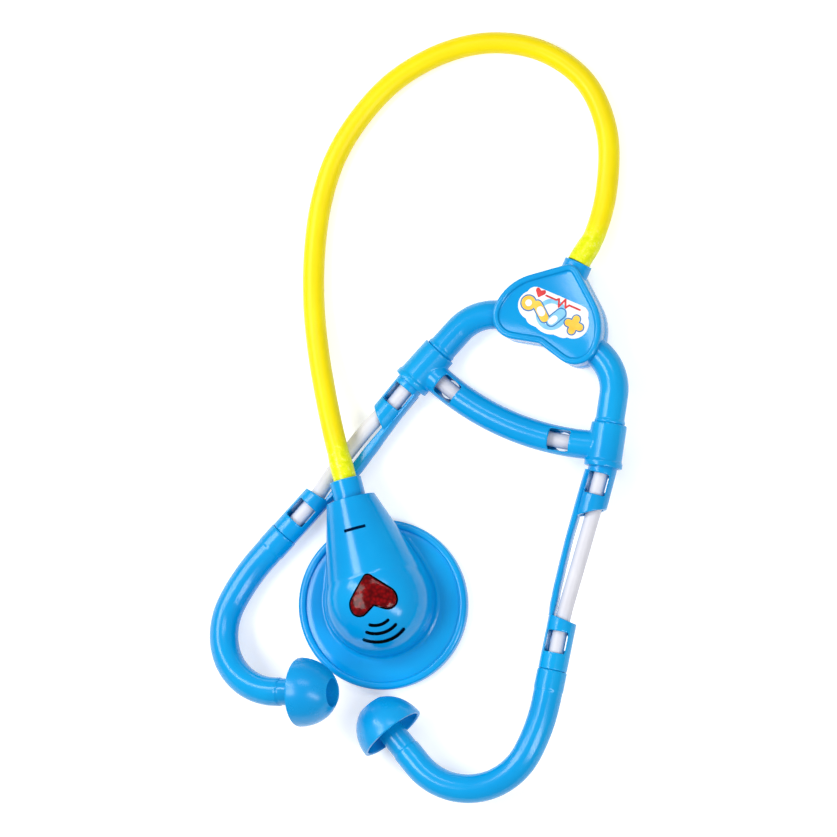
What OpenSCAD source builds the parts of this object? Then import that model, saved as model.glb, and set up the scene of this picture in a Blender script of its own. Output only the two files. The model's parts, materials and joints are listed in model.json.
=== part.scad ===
// Toy stethoscope: a headset with two ear tubes, a hose and a chest piece with a heart button.
// Origin: centre of the chest piece's flat underside. +Y runs along the headset towards its yoke, +Z is up.
// The pieces lie as on a table: the chest piece flat, the headset rolled a little onto its left side.

/* [Chest piece] */
// Diameter of the chest piece's dish
disc_d = 68; // [62:1:76]
// Height of the dish's raised rim
rim_h = 6; // [5.6:0.1:7]
// Width of the raised rim
rim_w = 3; // [2.4:0.1:4]
// Height of the flat part of the dish inside the rim
dish_h = 4.8; // [4.4:0.1:5.4]
// Wall of the dish and the dome
chest_wall = 1.8; // [1.4:0.1:2.2]
// Radius of the dome's round end, seen from above
bulb_r = 22; // [20:0.5:24]
// Height of the dome at its highest point
dome_h = 30; // [28:0.5:33]
// Radius of the neck where the collar starts
neck_r = 9.8; // [9:0.1:11]
// Height of the neck's axis
neck_axis_h = 18.6; // [18.4:0.1:19]
// Distance from the dish's centre to the neck's flat end
neck_reach = 43; // [40:0.5:46]
// Turn of the chest piece from the headset's direction
chest_turn = 38.5; // [30:0.5:45]

/* [Chest base and battery box] */
// Thickness of the base plate
base_t = 2.4; // [2:0.1:3]
// Thickness of the battery door
door_t = 1.6; // [1.2:0.1:1.8]
// Diameter of a button cell
cell_d = 11.6; // [11:0.1:12]
// Thickness of a button cell
cell_t = 5.4; // [5:0.1:5.6]
// Diameter of the screws' shafts
screw_d = 1.9; // [1.6:0.1:2.2]
// Diameter of the screws' heads
screw_head_d = 4.4; // [4:0.1:4.8]

/* [Heart button and electronics] */
// Width of the heart button
heart_w = 18.5; // [17:0.5:20]
// Length of the heart button
heart_l = 15; // [14:0.5:17]
// Gap all round the heart button
heart_gap = 0.7; // [0.4:0.1:1]
// How far the heart button stands above the dome
heart_proud = 0.8; // [0.4:0.1:1.2]
// Travel of the heart button
heart_travel = 1.2; // [0.8:0.1:1.2]
// Diameter of the speaker
speaker_d = 13; // [11:0.5:13]
// Thickness of the speaker
speaker_t = 3.5; // [2.5:0.1:3.6]
// Thickness of the circuit board
board_t = 1.2; // [0.8:0.1:1.6]

/* [Yoke] */
// Width of the heart-shaped yoke
yoke_w = 45.5; // [42:0.5:48]
// Length of the heart-shaped yoke
yoke_l = 36.4; // [34:0.2:39]
// Thickness of the yoke, front to back
yoke_t = 16; // [15:0.5:18]
// Wall of the yoke shells
yoke_wall = 1.6; // [1.3:0.1:2]
// Width of the rim around the sunk panel
yoke_rim = 2.4; // [2:0.1:3]
// Depth of the sunk panel
panel_depth = 1.2; // [0.8:0.1:1.5]
// Distance from the tee sleeves' line to the yoke's lobes
yoke_rise = 24.2; // [22:0.2:27]

/* [Headset tubes] */
// Outer diameter of the headset tubes
tube_d = 11.6; // [11:0.1:12.4]
// Wall of the headset tubes
tube_wall = 1.5; // [1.2:0.1:1.8]
// Diameter of the white rods
rod_d = 6; // [5:0.1:6.4]
// Distance between the centres of the tee sleeves
tee_spacing = 80.8; // [76:0.4:86]
// Outer diameter of a tee sleeve
tee_d = 14.3; // [14:0.1:16]
// Length of a tee sleeve
tee_l = 17.5; // [16:0.5:20]
// Radius of the crossbar's arch
bar_r = 110; // [100:1:130]
// Length of every window in the tubes
window_l = 8.6; // [7:0.1:9.2]
// Width of every window in the tubes
window_w = 8.4; // [7:0.1:9]

/* [Arms] */
// Length of an upper arm's straight run above the tee's centre
upper_run = 20; // [17:0.5:22]
// Bend radius of an upper arm
upper_bend_r = 19; // [16:0.5:20]
// Length of an arm link's middle line below the place where it turns
link_l = 18; // [16:0.5:20.5]
// Thickness of the springy strip
strip_t = 2.2; // [1.6:0.1:2.6]
// Depth of the springy strip, front to back
strip_depth = 7.2; // [6:0.1:8]
// Length of the left strip
left_strip_run = 37.9; // [34:0.1:44]
// Length of the right strip
right_strip_run = 42.2; // [36:0.1:44]
// Length of an ear socket
socket_l = 22; // [21:0.5:24]

/* [Ear tubes and ear tips] */
// Length of the ear tube's collar
ear_collar_l = 8; // [6:0.5:9]
// Radius of the ear tube's gentle bend
lead_bend_r = 75; // [60:1:90]
// Radius of the ear tube's tight bend
hook_bend_r = 27; // [25:0.5:29]
// Straight end of the left ear tube
left_hook_run = 2.6; // [0.5:0.1:9]
// Straight end of the right ear tube
right_hook_run = 7.4; // [0.5:0.1:9]
// Length of the cuff between an ear tube and its ear tip
cuff_l = 8.5; // [6:0.5:10]
// Diameter of an ear tip at its rim
tip_d = 27.6; // [25:0.2:29]
// Height of an ear tip
tip_h = 14.6; // [14:0.5:17]
// Diameter of the hole at an ear tip's pole
tip_hole_d = 11; // [10:0.2:12]

/* [Hose] */
// Outer diameter of the hose
hose_d = 8.6; // [8:0.1:9]
// Diameter of the barbs inside the hose
barb_d = 6.2; // [5.6:0.1:6.6]
// Length of the barbs inside the hose
barb_l = 10; // [8:0.5:12]
// Diameter of the chest piece's collar
chest_collar_d = 12.8; // [12:0.1:14]
// Length of the chest piece's collar
chest_collar_l = 8; // [6:0.5:10]
// Diameter of the yoke's collar
yoke_collar_d = 11.4; // [10.6:0.1:12]
// How far the yoke's collar stands above the yoke's tip
yoke_collar_l = 2; // [1.5:0.1:3]

/* [Hidden] */
$fn = 48;

blue = [0.01, 0.61, 0.89];
yellow = [0.98, 0.91, 0.05];
white = [0.93, 0.93, 0.96];
red = [0.6, 0.04, 0.06];
steel = [0.75, 0.75, 0.78];
green = [0.1, 0.45, 0.25];
black = [0.08, 0.08, 0.1];

degrees = 180 / PI;
dish_facets = 96;

// Clearances and the overrun of every cut
fit = 0.06;
running_gap = 0.08;
seat_gap = 0.3;
over = 1;
LEFT = 0;
RIGHT = 1;

// How the headset lies: the place of the middle of its tee line, its roll and its pitch
head_at = [18.3, 93.7, 11.35];
head_roll = 5;
head_pitch = 1;

// Directions of the arms, measured from the headset's axis, left then right
arm_lean = [19, 15.5];
strip_lean = [15.9, 9];
socket_lean = [19, 12.5];
ear_turn = [17.3, 0];
strip_run = [left_strip_run, right_strip_run];
hook_run = [left_hook_run, right_hook_run];
lead_bend_angle = 17;
hook_bend_angle = 112;
yoke_entry_angle = 12;

tube_r = tube_d / 2;
rod_r = rod_d / 2;
bore_r = tube_r - tube_wall;
guide_r = rod_r + seat_gap;
link_neck = 0.8;
link_turn_at = tee_l / 2 + link_neck;

// The entry after, and the entry before, place i in a list that closes on itself
function next(a, i) = a[(i + 1) % len(a)];
function prev(a, i) = a[(i + len(a) - 1) % len(a)];
function unit(v) = v / norm(v);
function side_turn(a, b) = a.x * b.y - a.y * b.x;

// Points of a corner rounded with radius r: p is the corner, a and b are its neighbours
function corner_arc(a, p, b, r, steps) =
    let (
        to_a = unit(a - p),
        to_b = unit(b - p),
        half = acos(to_a * to_b) / 2,
        centre = p + unit(to_a + to_b) * r / sin(half),
        start = p + to_a * r / tan(half),
        sweep = (180 - 2 * half) * sign(side_turn(p - a, b - p)),
        arm = start - centre
    )
    [for (k = [0 : steps])
        let (t = sweep * k / steps)
        centre + [arm.x * cos(t) - arm.y * sin(t), arm.x * sin(t) + arm.y * cos(t)]];

// Closed outline through rounded corners
function rounded(corners, radii, steps) =
    [for (i = [0 : len(corners) - 1])
        each corner_arc(prev(corners, i), corners[i], next(corners, i), radii[i], steps)];

// Outline moved inwards by d; the outline runs counterclockwise
function inset(points, d) =
    [for (i = [0 : len(points) - 1])
        let (along = unit(next(points, i) - prev(points, i)))
        points[i] + d * [-along.y, along.x]];

// A heart with its tip at +Y, its lobes on the X axis: corners are shares of half the width and of the length
function heart(w, l, corner_shares, radius_shares, steps) =
    let (
        right = [for (c = corner_shares) [c.x * w / 2, c.y * l]],
        corners = [right[3], right[2], right[1], right[0], [-right[1].x, right[1].y], [-right[2].x, right[2].y]],
        radii = w * [radius_shares[3], radius_shares[2], radius_shares[1], radius_shares[0],
            radius_shares[1], radius_shares[2]]
    )
    rounded(corners, radii, steps);

// Corners of the two hearts: tip, shoulder, lobe and cleft
yoke_corner_shares = [[0, 1.033], [1, 0.541], [1, -0.086], [0, 0.066]];
yoke_radius_shares = [0.11, 0.472, 0.209, 0.088];
lens_corner_shares = [[0, 1.05], [1, 0.4], [1, -0.167], [0, 0.207]];
lens_radius_shares = [0.08, 0.27, 0.184, 0.04];
heart_steps = 8;

// Tube pieces: each starts at the origin heading +Y, and bends turn towards -X
module run(l, r) {
    rotate([-90, 0, 0]) cylinder(h = l, r = r);
}

module bend(bend_r, angle, r) {
    translate([-bend_r, 0, 0]) rotate_extrude(angle = angle) translate([bend_r, 0]) circle(r = r);
}

// A bent rod or tube: each step is [length, 0] or [bend radius, angle], and a negative angle turns towards +X.
// Each step starts a little inside the last one and is a hair thinner, so that they join as one solid
join_lap = 0.5;
join_step = 0.02;
module path(steps, r, i = 0) {
    lap = i == 0 ? 0 : join_lap;
    size = steps[i][0];
    angle = steps[i][1];
    if (angle == 0) {
        past_run(-lap) run(size + lap, r);
        if (i + 1 < len(steps)) past_run(size) path(steps, r - join_step, i + 1);
    } else {
        lap_angle = lap / size * degrees;
        mirror([angle < 0 ? 1 : 0, 0, 0]) {
            past_bend(size, -lap_angle) bend(size, abs(angle) + lap_angle, r);
            past_bend(size, abs(angle)) mirror([angle < 0 ? 1 : 0, 0, 0])
                if (i + 1 < len(steps)) path(steps, r - join_step, i + 1);
        }
    }
}

module past_run(l) {
    translate([0, l, 0]) children();
}

module past_bend(bend_r, angle) {
    translate([-bend_r * (1 - cos(angle)), bend_r * sin(angle), 0]) rotate([0, 0, angle]) children();
}

// Frames: the headset, one tee, down an arm, along a strip, at an ear socket, at an ear tube
module in_headset() {
    translate(head_at) rotate([-head_pitch, -head_roll, 0]) children();
}

module on_side(side) {
    if (side == LEFT) mirror([1, 0, 0]) children();
    else children();
}

module at_tee(side) {
    on_side(side) translate([tee_spacing / 2, 0, 0]) rotate([0, 0, arm_lean[side]]) children();
}

module down_arm(side) {
    at_tee(side) mirror([0, 1, 0]) children();
}

// Below the tee's mouth the arm turns: link and strip lie in one line
module down_link(side) {
    down_arm(side) past_run(link_turn_at) rotate([0, 0, arm_lean[side] - strip_lean[side]]) children();
}

module down_strip(side) {
    down_link(side) past_run(link_l) children();
}

module down_socket(side) {
    down_strip(side) past_run(strip_run[side]) rotate([0, 0, strip_lean[side] - socket_lean[side]]) children();
}

module down_ear(side) {
    down_socket(side) rotate([0, ear_turn[side], 0]) children();
}

// A window in a tube that heads +Y: an opening in front and a round hole behind
window_floor_share = 0.12;
back_hole_share = 0.9;
module window(from) {
    translate([-window_w / 2, from, tube_r * window_floor_share]) cube([window_w, window_l, tube_r + over]);
    translate([0, from + window_w * back_hole_share / 2, -tube_r - over])
        cylinder(h = tube_r + over, d = window_w * back_hole_share);
}

// Yoke
front_h = yoke_t / 2;
yoke_outline = heart(yoke_w, yoke_l, yoke_corner_shares, yoke_radius_shares, heart_steps);
edge_step = 0.7;
yoke_plug_l = 6;
boss_wall = 1.6;
boss_r = screw_d / 2 + boss_wall;
yoke_screw_shares = [[0.36, 0.36], [-0.36, 0.36], [0, 0.66]];
yoke_screw_l = 10;
screw_head_h = 1.4;
screw_floor = 1.2;

module in_yoke() {
    in_headset() translate([0, yoke_rise, 0]) children();
}

module yoke_plate(depth, low, high) {
    translate([0, 0, low]) linear_extrude(height = high - low) polygon(inset(yoke_outline, depth));
}

module yoke_screw_place(i) {
    translate([yoke_screw_shares[i].x * yoke_w / 2, yoke_screw_shares[i].y * yoke_l, 0]) children();
}

module yoke_bosses(low, high) {
    for (i = [0 : 2]) yoke_screw_place(i) translate([0, 0, low]) cylinder(h = high - low, r = boss_r);
}

// What passes through the yoke's walls: both upper arms and the hose collar with its flange
module yoke_cuts() {
    collar_r = yoke_collar_d / 2 + fit;
    for (side = [LEFT, RIGHT]) at_tee(side) upper_arm_solid(side, tube_r + fit);
    translate([0, yoke_rise, 0]) yoke_collar_place() {
        run(yoke_collar_l + yoke_collar_in + over, collar_r);
        past_run(-collar_flange_t - fit) run(collar_flange_t + 2 * fit, collar_r + collar_flange_w);
    }
}

module yoke_front_shell() {
    color(blue) in_headset() difference() {
        translate([0, yoke_rise, 0]) {
            difference() {
                union() {
                    yoke_plate(0, 0, front_h - edge_step);
                    yoke_plate(edge_step, front_h - edge_step, front_h);
                }
                yoke_plate(yoke_rim, front_h - panel_depth, front_h + over);
                yoke_plate(yoke_wall, -over, front_h - panel_depth - yoke_wall);
            }
            difference() {
                yoke_bosses(0, front_h - panel_depth - yoke_wall);
                for (i = [0 : 2]) yoke_screw_place(i) translate([0, 0, -over])
                    cylinder(h = yoke_screw_l - front_h + screw_head_h + screw_floor + 2 * over, d = screw_d + 2 * fit);
            }
        }
        yoke_cuts();
    }
}

module yoke_rear_shell() {
    color(blue) in_headset() difference() {
        translate([0, yoke_rise, 0]) difference() {
            union() {
                difference() {
                    union() {
                        yoke_plate(0, edge_step - front_h, 0);
                        yoke_plate(edge_step, -front_h, edge_step - front_h);
                    }
                    yoke_plate(yoke_wall, yoke_wall - front_h, over);
                }
                yoke_bosses(yoke_wall - front_h, 0);
            }
            for (i = [0 : 2]) yoke_screw_place(i) translate([0, 0, -front_h - over]) {
                cylinder(h = over + screw_head_h + screw_floor / 2, d = screw_head_d + 2 * fit);
                cylinder(h = front_h + 2 * over, d = screw_d + 2 * fit);
            }
        }
        yoke_cuts();
    }
}

// A screw standing on its head, shaft towards +Z; its cross slot is given as shares of the head
cross_shares = [0.5, 0.17];
module screw(l) {
    cross_w = screw_head_d * cross_shares.x;
    cross_t = screw_head_d * cross_shares.y;
    difference() {
        union() {
            cylinder(h = screw_head_h, d = screw_head_d);
            cylinder(h = screw_head_h + l, d = screw_d);
        }
        for (a = [0, 90]) rotate([0, 0, a]) translate([-cross_w / 2, -cross_t / 2, -over])
            cube([cross_w, cross_t, over + screw_head_h / 2]);
    }
}

module yoke_screw(i) {
    color(steel) in_yoke() yoke_screw_place(i) translate([0, 0, screw_floor / 2 - front_h]) screw(yoke_screw_l);
}

// The printed label lies in the sunk panel: the yoke's outline, made smaller about a point inside it
label_t = 0.25;
label_share = 0.76;
label_centre_share = 0.44;
module yoke_label() {
    color(yellow) in_yoke() translate([0, yoke_l * label_centre_share * (1 - label_share), front_h - panel_depth])
        linear_extrude(height = label_t) polygon(label_share * yoke_outline);
}

// Hose collar of the yoke
yoke_collar_in = 4.6;
collar_flange_t = 1.5;
collar_flange_w = 1;
sound_bore_share = 0.6;
module yoke_collar_place() {
    translate([0, yoke_l - yoke_collar_in, 0]) children();
}

module yoke_connector() {
    color(blue) in_yoke() yoke_collar_place() connector(yoke_collar_d, yoke_collar_in + yoke_collar_l);
}

// A collar with a flange at its inner end and a barb at its outer end
module connector(collar_d, collar_l) {
    difference() {
        union() {
            run(collar_l, collar_d / 2);
            past_run(-collar_flange_t) run(collar_flange_t, collar_d / 2 + collar_flange_w);
            run(collar_l + barb_l, barb_d / 2);
        }
        past_run(-collar_flange_t - over) run(collar_flange_t + collar_l + barb_l + 2 * over, barb_d * sound_bore_share / 2);
    }
}

// Upper arms
upper_plug = 1.5;
arm_ring_l = 1;
arm_ring_w = 0.4;
function upper_angle(side) = 90 - yoke_entry_angle - arm_lean[side];

module upper_arm_solid(side, r, past = 0) {
    steps = [[upper_run - upper_plug + past, 0], [upper_bend_r, upper_angle(side)], [yoke_plug_l + past, 0]];
    past_run(upper_plug - past) path(steps, r);
}

module upper_arm(side) {
    ring_r = tube_r + arm_ring_w;
    color(blue) in_headset() at_tee(side) difference() {
        union() {
            upper_arm_solid(side, tube_r);
            past_run(tee_l / 2 + seat_gap) run(arm_ring_l, ring_r);
        }
        upper_arm_solid(side, bore_r, over);
    }
}

// Crossbar frame: an arched bar and the tee sleeves at its ends
bar_half_angle = asin(tee_spacing / 2 / bar_r);
left_window_at = 9.2;
right_window_at = 14.3;
tee_rim_l = 2.4;
tee_rim_w = 0.5;
module bar_arc(r, cut) {
    half = bar_half_angle - cut;
    translate([0, bar_r * cos(bar_half_angle), 0]) rotate([0, 0, -90 - half])
        rotate_extrude(angle = 2 * half) translate([bar_r, 0]) circle(r = r);
}

// A place on the bar at a distance from one tee's centre, heading away from the tee
module on_bar(side, distance) {
    angle = bar_half_angle - distance / bar_r * degrees;
    on_side(side) translate([0, bar_r * cos(bar_half_angle), 0]) rotate([0, 0, angle]) translate([0, -bar_r, 0])
        rotate([0, 0, 90]) children();
}

module crossbar_frame() {
    tee_wall_angle = tee_d / 2 / bar_r * degrees;
    color(blue) in_headset() difference() {
        union() {
            bar_arc(tube_r, 0);
            for (side = [LEFT, RIGHT]) at_tee(side) {
                past_run(-tee_l / 2) run(tee_l, tee_d / 2);
                past_run(-tee_l / 2) run(tee_rim_l, tee_d / 2 + tee_rim_w);
            }
        }
        bar_arc(bore_r, tee_wall_angle);
        on_bar(LEFT, left_window_at) window(0);
        on_bar(RIGHT, right_window_at) window(0);
        for (side = [LEFT, RIGHT]) at_tee(side) past_run(-tee_l / 2 - over) run(tee_l + 2 * over, tube_r + fit);
    }
}

// The rod rests in the bar's bore, between the two tee sleeves
rod_rest = 0.05;
module crossbar_rod() {
    tee_end_angle = (tee_d / 2 + seat_gap) / bar_r * degrees;
    color(white) in_headset() translate([0, 0, rod_r + rod_rest - bore_r]) bar_arc(rod_r, tee_end_angle);
}

// Arm links: a windowed tube plugged in the tee sleeve, bent just below it and cut slanting at its lower end.
// The arm below it swings about the strip's root, so the bore is wide there
link_plug = 1.5;
link_window_at = 1.85;
link_slant = 3;
link_guide_l = 1.4;
module link_path(side, from, to, r) {
    turn = arm_lean[side] - strip_lean[side];
    steps = [[link_turn_at - link_neck - from, 0], [link_neck / tan(turn / 2), turn], [to - link_neck, 0]];
    down_arm(side) past_run(from) path(steps, r);
}

module arm_link(side) {
    window_end = link_window_at + window_l;
    color(blue) in_headset() difference() {
        link_path(side, link_plug, link_l + link_slant, tube_r);
        link_path(side, link_plug - over, window_end, bore_r);
        down_link(side) {
            past_run(window_end - over) run(link_guide_l + 2 * over, rod_r + fit);
            past_run(window_end + link_guide_l) run(link_l, bore_r);
            window(link_window_at);
            slant_cut(link_l + link_slant, -link_slant, tube_d);
        }
    }
}

// What lies beyond a slanting line across a tube: the outer side ends twice the slant before the inner side
module slant_cut(at, slant, reach) {
    slant_angle = atan(slant / tube_r);
    translate([-tube_r, at, 0]) rotate([0, 0, slant_angle])
        translate([-tube_d, 0, -tube_d]) cube([3 * tube_d, reach, 2 * tube_d]);
}

// Upper part of the white rod, held in the link's guide
rod_top = 0.45;
module link_rod(side) {
    color(white) in_headset() down_link(side) past_run(rod_top)
        run(link_window_at + window_l + link_guide_l - rod_top, rod_r);
}

// Springy strips on the inner side of the arms, from the link's end to the socket's end
socket_slant = 1.2;
module arm_strip(side) {
    start = link_slant + seat_gap;
    color(blue) in_headset() intersection() {
        down_strip(side) translate([-tube_r, start, -strip_depth / 2])
            cube([strip_t, strip_run[side] + over - start, strip_depth]);
        down_socket(side) mirror([0, 1, 0]) slant_cut(0, -socket_slant, link_l + strip_run[side]);
    }
}

// White rods from the links to the ear sockets: each leaves its link beside the link's middle line, leans
// towards the socket's mouth and bends into it
rod_in_link = 3.5;
rod_in_socket = 15.6;
rod_bend_reach = 8;
rod_aside = [0.5, 1];
module arm_rod(side) {
    reach = rod_in_link + strip_run[side];
    tilt = atan(rod_aside[side] / reach);
    turn = socket_lean[side] - strip_lean[side] + tilt;
    bend_r = rod_bend_reach / tan(turn / 2);
    lean_l = norm([reach, rod_aside[side]]);
    steps = [[lean_l - rod_bend_reach, 0], [bend_r, -turn], [rod_in_socket - rod_bend_reach, 0]];
    color(white) in_headset() down_strip(side) translate([rod_aside[side], -rod_in_link, 0])
        rotate([0, 0, tilt]) path(steps, rod_r);
}

// Ear sockets: a windowed tube that the rod enters from above and the ear tube from below
socket_window_at = 6.5;
swivel_r = tube_r - tube_wall;
swivel_l = 5;
module ear_socket(side) {
    color(blue) in_headset() down_socket(side) difference() {
        run(socket_l, tube_r);
        past_run(-over) run(socket_l + over, guide_r);
        past_run(socket_window_at - over) run(socket_l - socket_window_at + 2 * over, swivel_r + running_gap);
        window(socket_window_at);
        mirror([0, 1, 0]) slant_cut(0, -socket_slant, tube_d);
    }
}

// Ear tubes: collar, gentle bend, tight bend, straight end, cuff and stem
ear_straight = 34;
ear_collar_w = 0.2;
cuff_in = 2.7;
cuff_d = 10.8;
stem_r = 4.5;
stem_l = 9;
module past_hook(side) {
    past_run(ear_straight) past_bend(lead_bend_r, lead_bend_angle)
        past_bend(hook_bend_r, hook_bend_angle) past_run(hook_run[side]) children();
}

module ear_path(side, from, r, past = 0) {
    steps = [
        [ear_straight - from, 0], [lead_bend_r, lead_bend_angle], [hook_bend_r, hook_bend_angle],
        [hook_run[side] + past, 0]
    ];
    past_run(from) path(steps, r);
}

module ear_tube(side) {
    stem_bore_r = stem_r - tube_wall;
    top = socket_l - swivel_l;
    color(blue) in_headset() down_ear(side) difference() {
        union() {
            past_run(top) run(swivel_l + ear_collar_l, swivel_r);
            past_run(socket_l + running_gap) run(ear_collar_l, tube_r + ear_collar_w);
            ear_path(side, socket_l + running_gap, tube_r);
            past_hook(side) {
                past_run(-join_lap) run(join_lap + cuff_l + cuff_in, cuff_d / 2);
                run(cuff_l + stem_l, stem_r);
            }
        }
        ear_path(side, top - over, stem_bore_r, cuff_l + stem_l + over);
    }
}

// Ear tips: a hollow dome around a sleeve, which turns on the ear tube's stem
tip_wall = 1.5;
tip_steps = 10;
sleeve_wall = 1.6;
tip_bore_depth = 6;
module ear_tip(side) {
    pole_angle = acos(tip_hole_d / tip_d);
    full_h = tip_h / sin(pole_angle);
    inner_r = tip_d / 2 - tip_wall;
    inner_h = full_h - tip_wall;
    sleeve_r = stem_r + running_gap;
    sleeve_outer_r = sleeve_r + sleeve_wall;
    sleeve_angle = acos(sleeve_outer_r / inner_r);
    sleeve_from = cuff_in + seat_gap;
    hole_floor = tip_h - tip_bore_depth;
    profile = [
        for (k = [0 : tip_steps]) let (t = pole_angle * k / tip_steps) [tip_d / 2 * cos(t), full_h * sin(t)],
        [tip_hole_d / 2, hole_floor],
        [sleeve_r, hole_floor],
        [sleeve_r, sleeve_from],
        [sleeve_outer_r, sleeve_from],
        for (k = [tip_steps : -1 : 0]) let (t = sleeve_angle * k / tip_steps) [inner_r * cos(t), inner_h * sin(t)]
    ];
    color(blue) in_headset() down_ear(side) past_hook(side) past_run(cuff_l)
        rotate([-90, 0, 0]) rotate_extrude() polygon(profile);
}

// Hose: a tube swept along its route from the yoke's collar to the chest piece's collar
hose_route = [
    [19.5, 170, 8], [16, 188.5, 5.5], [6.9, 209, 4.5], [-8.7, 223.8, 4.5], [-29, 228.6, 4.5], [-49, 224.3, 4.5],
    [-66, 213, 4.5], [-79.5, 196, 4.5], [-87, 177, 4.5], [-90, 157, 4.5], [-88, 137.5, 4.5], [-82.5, 118.5, 4.5],
    [-74.5, 100, 5.5], [-64.5, 83, 8.5], [-53.5, 67.5, 13], [-43, 54, 17.4]
];
hose_sides = 12;
hose_steps = 3;

function turn_x(v, a) = [v.x, v.y * cos(a) - v.z * sin(a), v.y * sin(a) + v.z * cos(a)];
function turn_y(v, a) = [v.x * cos(a) + v.z * sin(a), v.y, v.z * cos(a) - v.x * sin(a)];
function from_headset(v) = turn_y(turn_x(v, -head_pitch), -head_roll);

yoke_mouth = head_at + from_headset([0, yoke_rise + yoke_l + yoke_collar_l, 0]);
yoke_way = from_headset([0, 1, 0]);
chest_way = [-sin(chest_turn), cos(chest_turn), 0];
chest_mouth = (neck_reach + chest_collar_l) * chest_way + [0, 0, neck_axis_h];

// Route points with one more beyond each mouth, in line with it
past_yoke = yoke_mouth - norm(hose_route[0] - yoke_mouth) * yoke_way;
past_chest = chest_mouth - norm(hose_route[len(hose_route) - 1] - chest_mouth) * chest_way;
hose_knots = concat([past_yoke, yoke_mouth], hose_route, [chest_mouth, past_chest]);

// A smooth curve from knot i to the next one, t from 0 to 1
function between_knots(i, t) =
    let (a = hose_knots[i - 1], b = hose_knots[i], c = hose_knots[i + 1], d = hose_knots[i + 2])
    b + t / 2 * (c - a + t * (2 * a - 5 * b + 4 * c - d + t * (3 * (b - c) + d - a)));

hose_points = concat(
    [for (i = [1 : len(hose_knots) - 3]) for (k = [0 : hose_steps - 1]) between_knots(i, k / hose_steps)],
    [chest_mouth]
);

function hose_way(i) =
    i == 0 ? yoke_way :
    i == len(hose_points) - 1 ? -chest_way :
    unit(hose_points[i + 1] - hose_points[i - 1]);

function hose_ring(i) =
    let (
        way = hose_way(i),
        across = unit(cross(way, [0, 0, 1])),
        up = cross(across, way)
    )
    [for (k = [0 : hose_sides - 1])
        let (t = 360 * k / hose_sides)
        hose_points[i] + hose_d / 2 * (cos(t) * across + sin(t) * up)];

module sound_tube() {
    color(yellow) loft([for (i = [0 : len(hose_points) - 1]) hose_ring(i)]);
}

// A closed skin over rings that have the same count of points
module loft(rings) {
    n = len(rings[0]);
    last = len(rings) - 1;
    points = [for (ring = rings) each ring];
    sides = [
        for (j = [0 : last - 1]) for (k = [0 : n - 1])
            let (a = j * n + k, b = j * n + (k + 1) % n)
            each [[a, b, b + n], [a, b + n, a + n]]
    ];
    start_cap = [for (k = [1 : n - 2]) [0, k + 1, k]];
    end_cap = [for (k = [1 : n - 2]) [last * n, last * n + k, last * n + k + 1]];
    polyhedron(points = points, faces = concat(sides, start_cap, end_cap), convexity = 6);
}

// Chest piece: its own frame has the dish's centre as origin and the collar at +Y
module in_chest() {
    rotate([0, 0, chest_turn]) children();
}

// Form of the dome: a bulb turned about an upright axis, and a neck that tapers up to the collar
bulb_y_share = 0.064;
bulb_y = bulb_r * bulb_y_share;
bulb_power = 2.3;
bulb_steps = 9;
flank_angle = 21.9;
flank_y = bulb_y + bulb_r * sin(flank_angle);
flank_r = bulb_r * cos(flank_angle);
flank_axis_h = dome_h - flank_r - over;
neck_rise = atan((neck_axis_h - flank_axis_h) / (neck_reach - flank_y));
neck_l = norm([neck_axis_h - flank_axis_h, neck_reach - flank_y]);
neck_taper = (flank_r - neck_r) / neck_l;

module bulb(grow) {
    r = bulb_r + grow;
    h = dome_h - dish_h + grow;
    profile = [
        for (k = [0 : bulb_steps])
            let (t = 90 * k / bulb_steps)
            [r * pow(cos(t), 2 / bulb_power), dish_h + h * pow(sin(t), 2 / bulb_power)]
    ];
    translate([0, bulb_y, 0]) rotate_extrude() polygon(concat([[0, -over], [r, -over]], profile));
}

// The neck runs a little past its flat end, where neck_end cuts it
module neck(grow) {
    extra = neck_r;
    translate([0, flank_y, flank_axis_h]) rotate([neck_rise - 90, 0, 0])
        cylinder(h = neck_l + extra, r1 = flank_r + grow, r2 = neck_r + grow - extra * neck_taper);
}

module dome(grow, low, reach) {
    intersection() {
        union() {
            bulb(grow);
            neck(grow);
        }
        translate([-disc_d, -disc_d, low]) cube([2 * disc_d, disc_d + reach, 2 * dome_h]);
    }
}

// The dish: a rim outside, a flat inside, and a ledge that the base plate sits on
rim_round = 0.8;
ledge_w = 2.2;
lip_w = 1.9;
lip_rise = 0.4;
module dish() {
    r = disc_d / 2;
    rotate_extrude($fn = dish_facets) polygon([
        [0, base_t], [r - lip_w, base_t], [r - lip_w, lip_rise], [r, lip_rise],
        [r, rim_h - rim_round], [r - rim_round, rim_h], [r - rim_w + rim_round, rim_h],
        [r - rim_w, dish_h], [0, dish_h]
    ]);
}

lens_outline = heart(heart_w, heart_l, lens_corner_shares, lens_radius_shares, heart_steps);
heart_y = -4;
slot_radii = [7.6, 10.8, 14];
slot_half_angles = [29.6, 33.7, 36];
slot_w = 1.3;
slot_centre_y = -1.7;
neck_slot_y = 30.4;
neck_slot = [8.8, 1.2];
collar_step = 1.2;
neck_bore_r = chest_collar_d / 2 - collar_step;

// Posts for the base plate's screws: two inside the bulb, one between the neck and the rim
bulb_post_shares = [0.75, 0.27];
neck_post_share = 0.796;
base_posts = [bulb_r * bulb_post_shares, bulb_r * [-bulb_post_shares.x, bulb_post_shares.y],
    [0, disc_d / 2 * neck_post_share]];
base_screw_l = 10;
base_boss_rise = 1.6;
base_boss_h = base_t + base_boss_rise;
base_head_at = 0.6;
base_boss_wall = 1;
base_boss_r = boss_r + base_boss_wall;

module base_screw_place(i) {
    translate(base_posts[i]) children();
}

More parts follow.
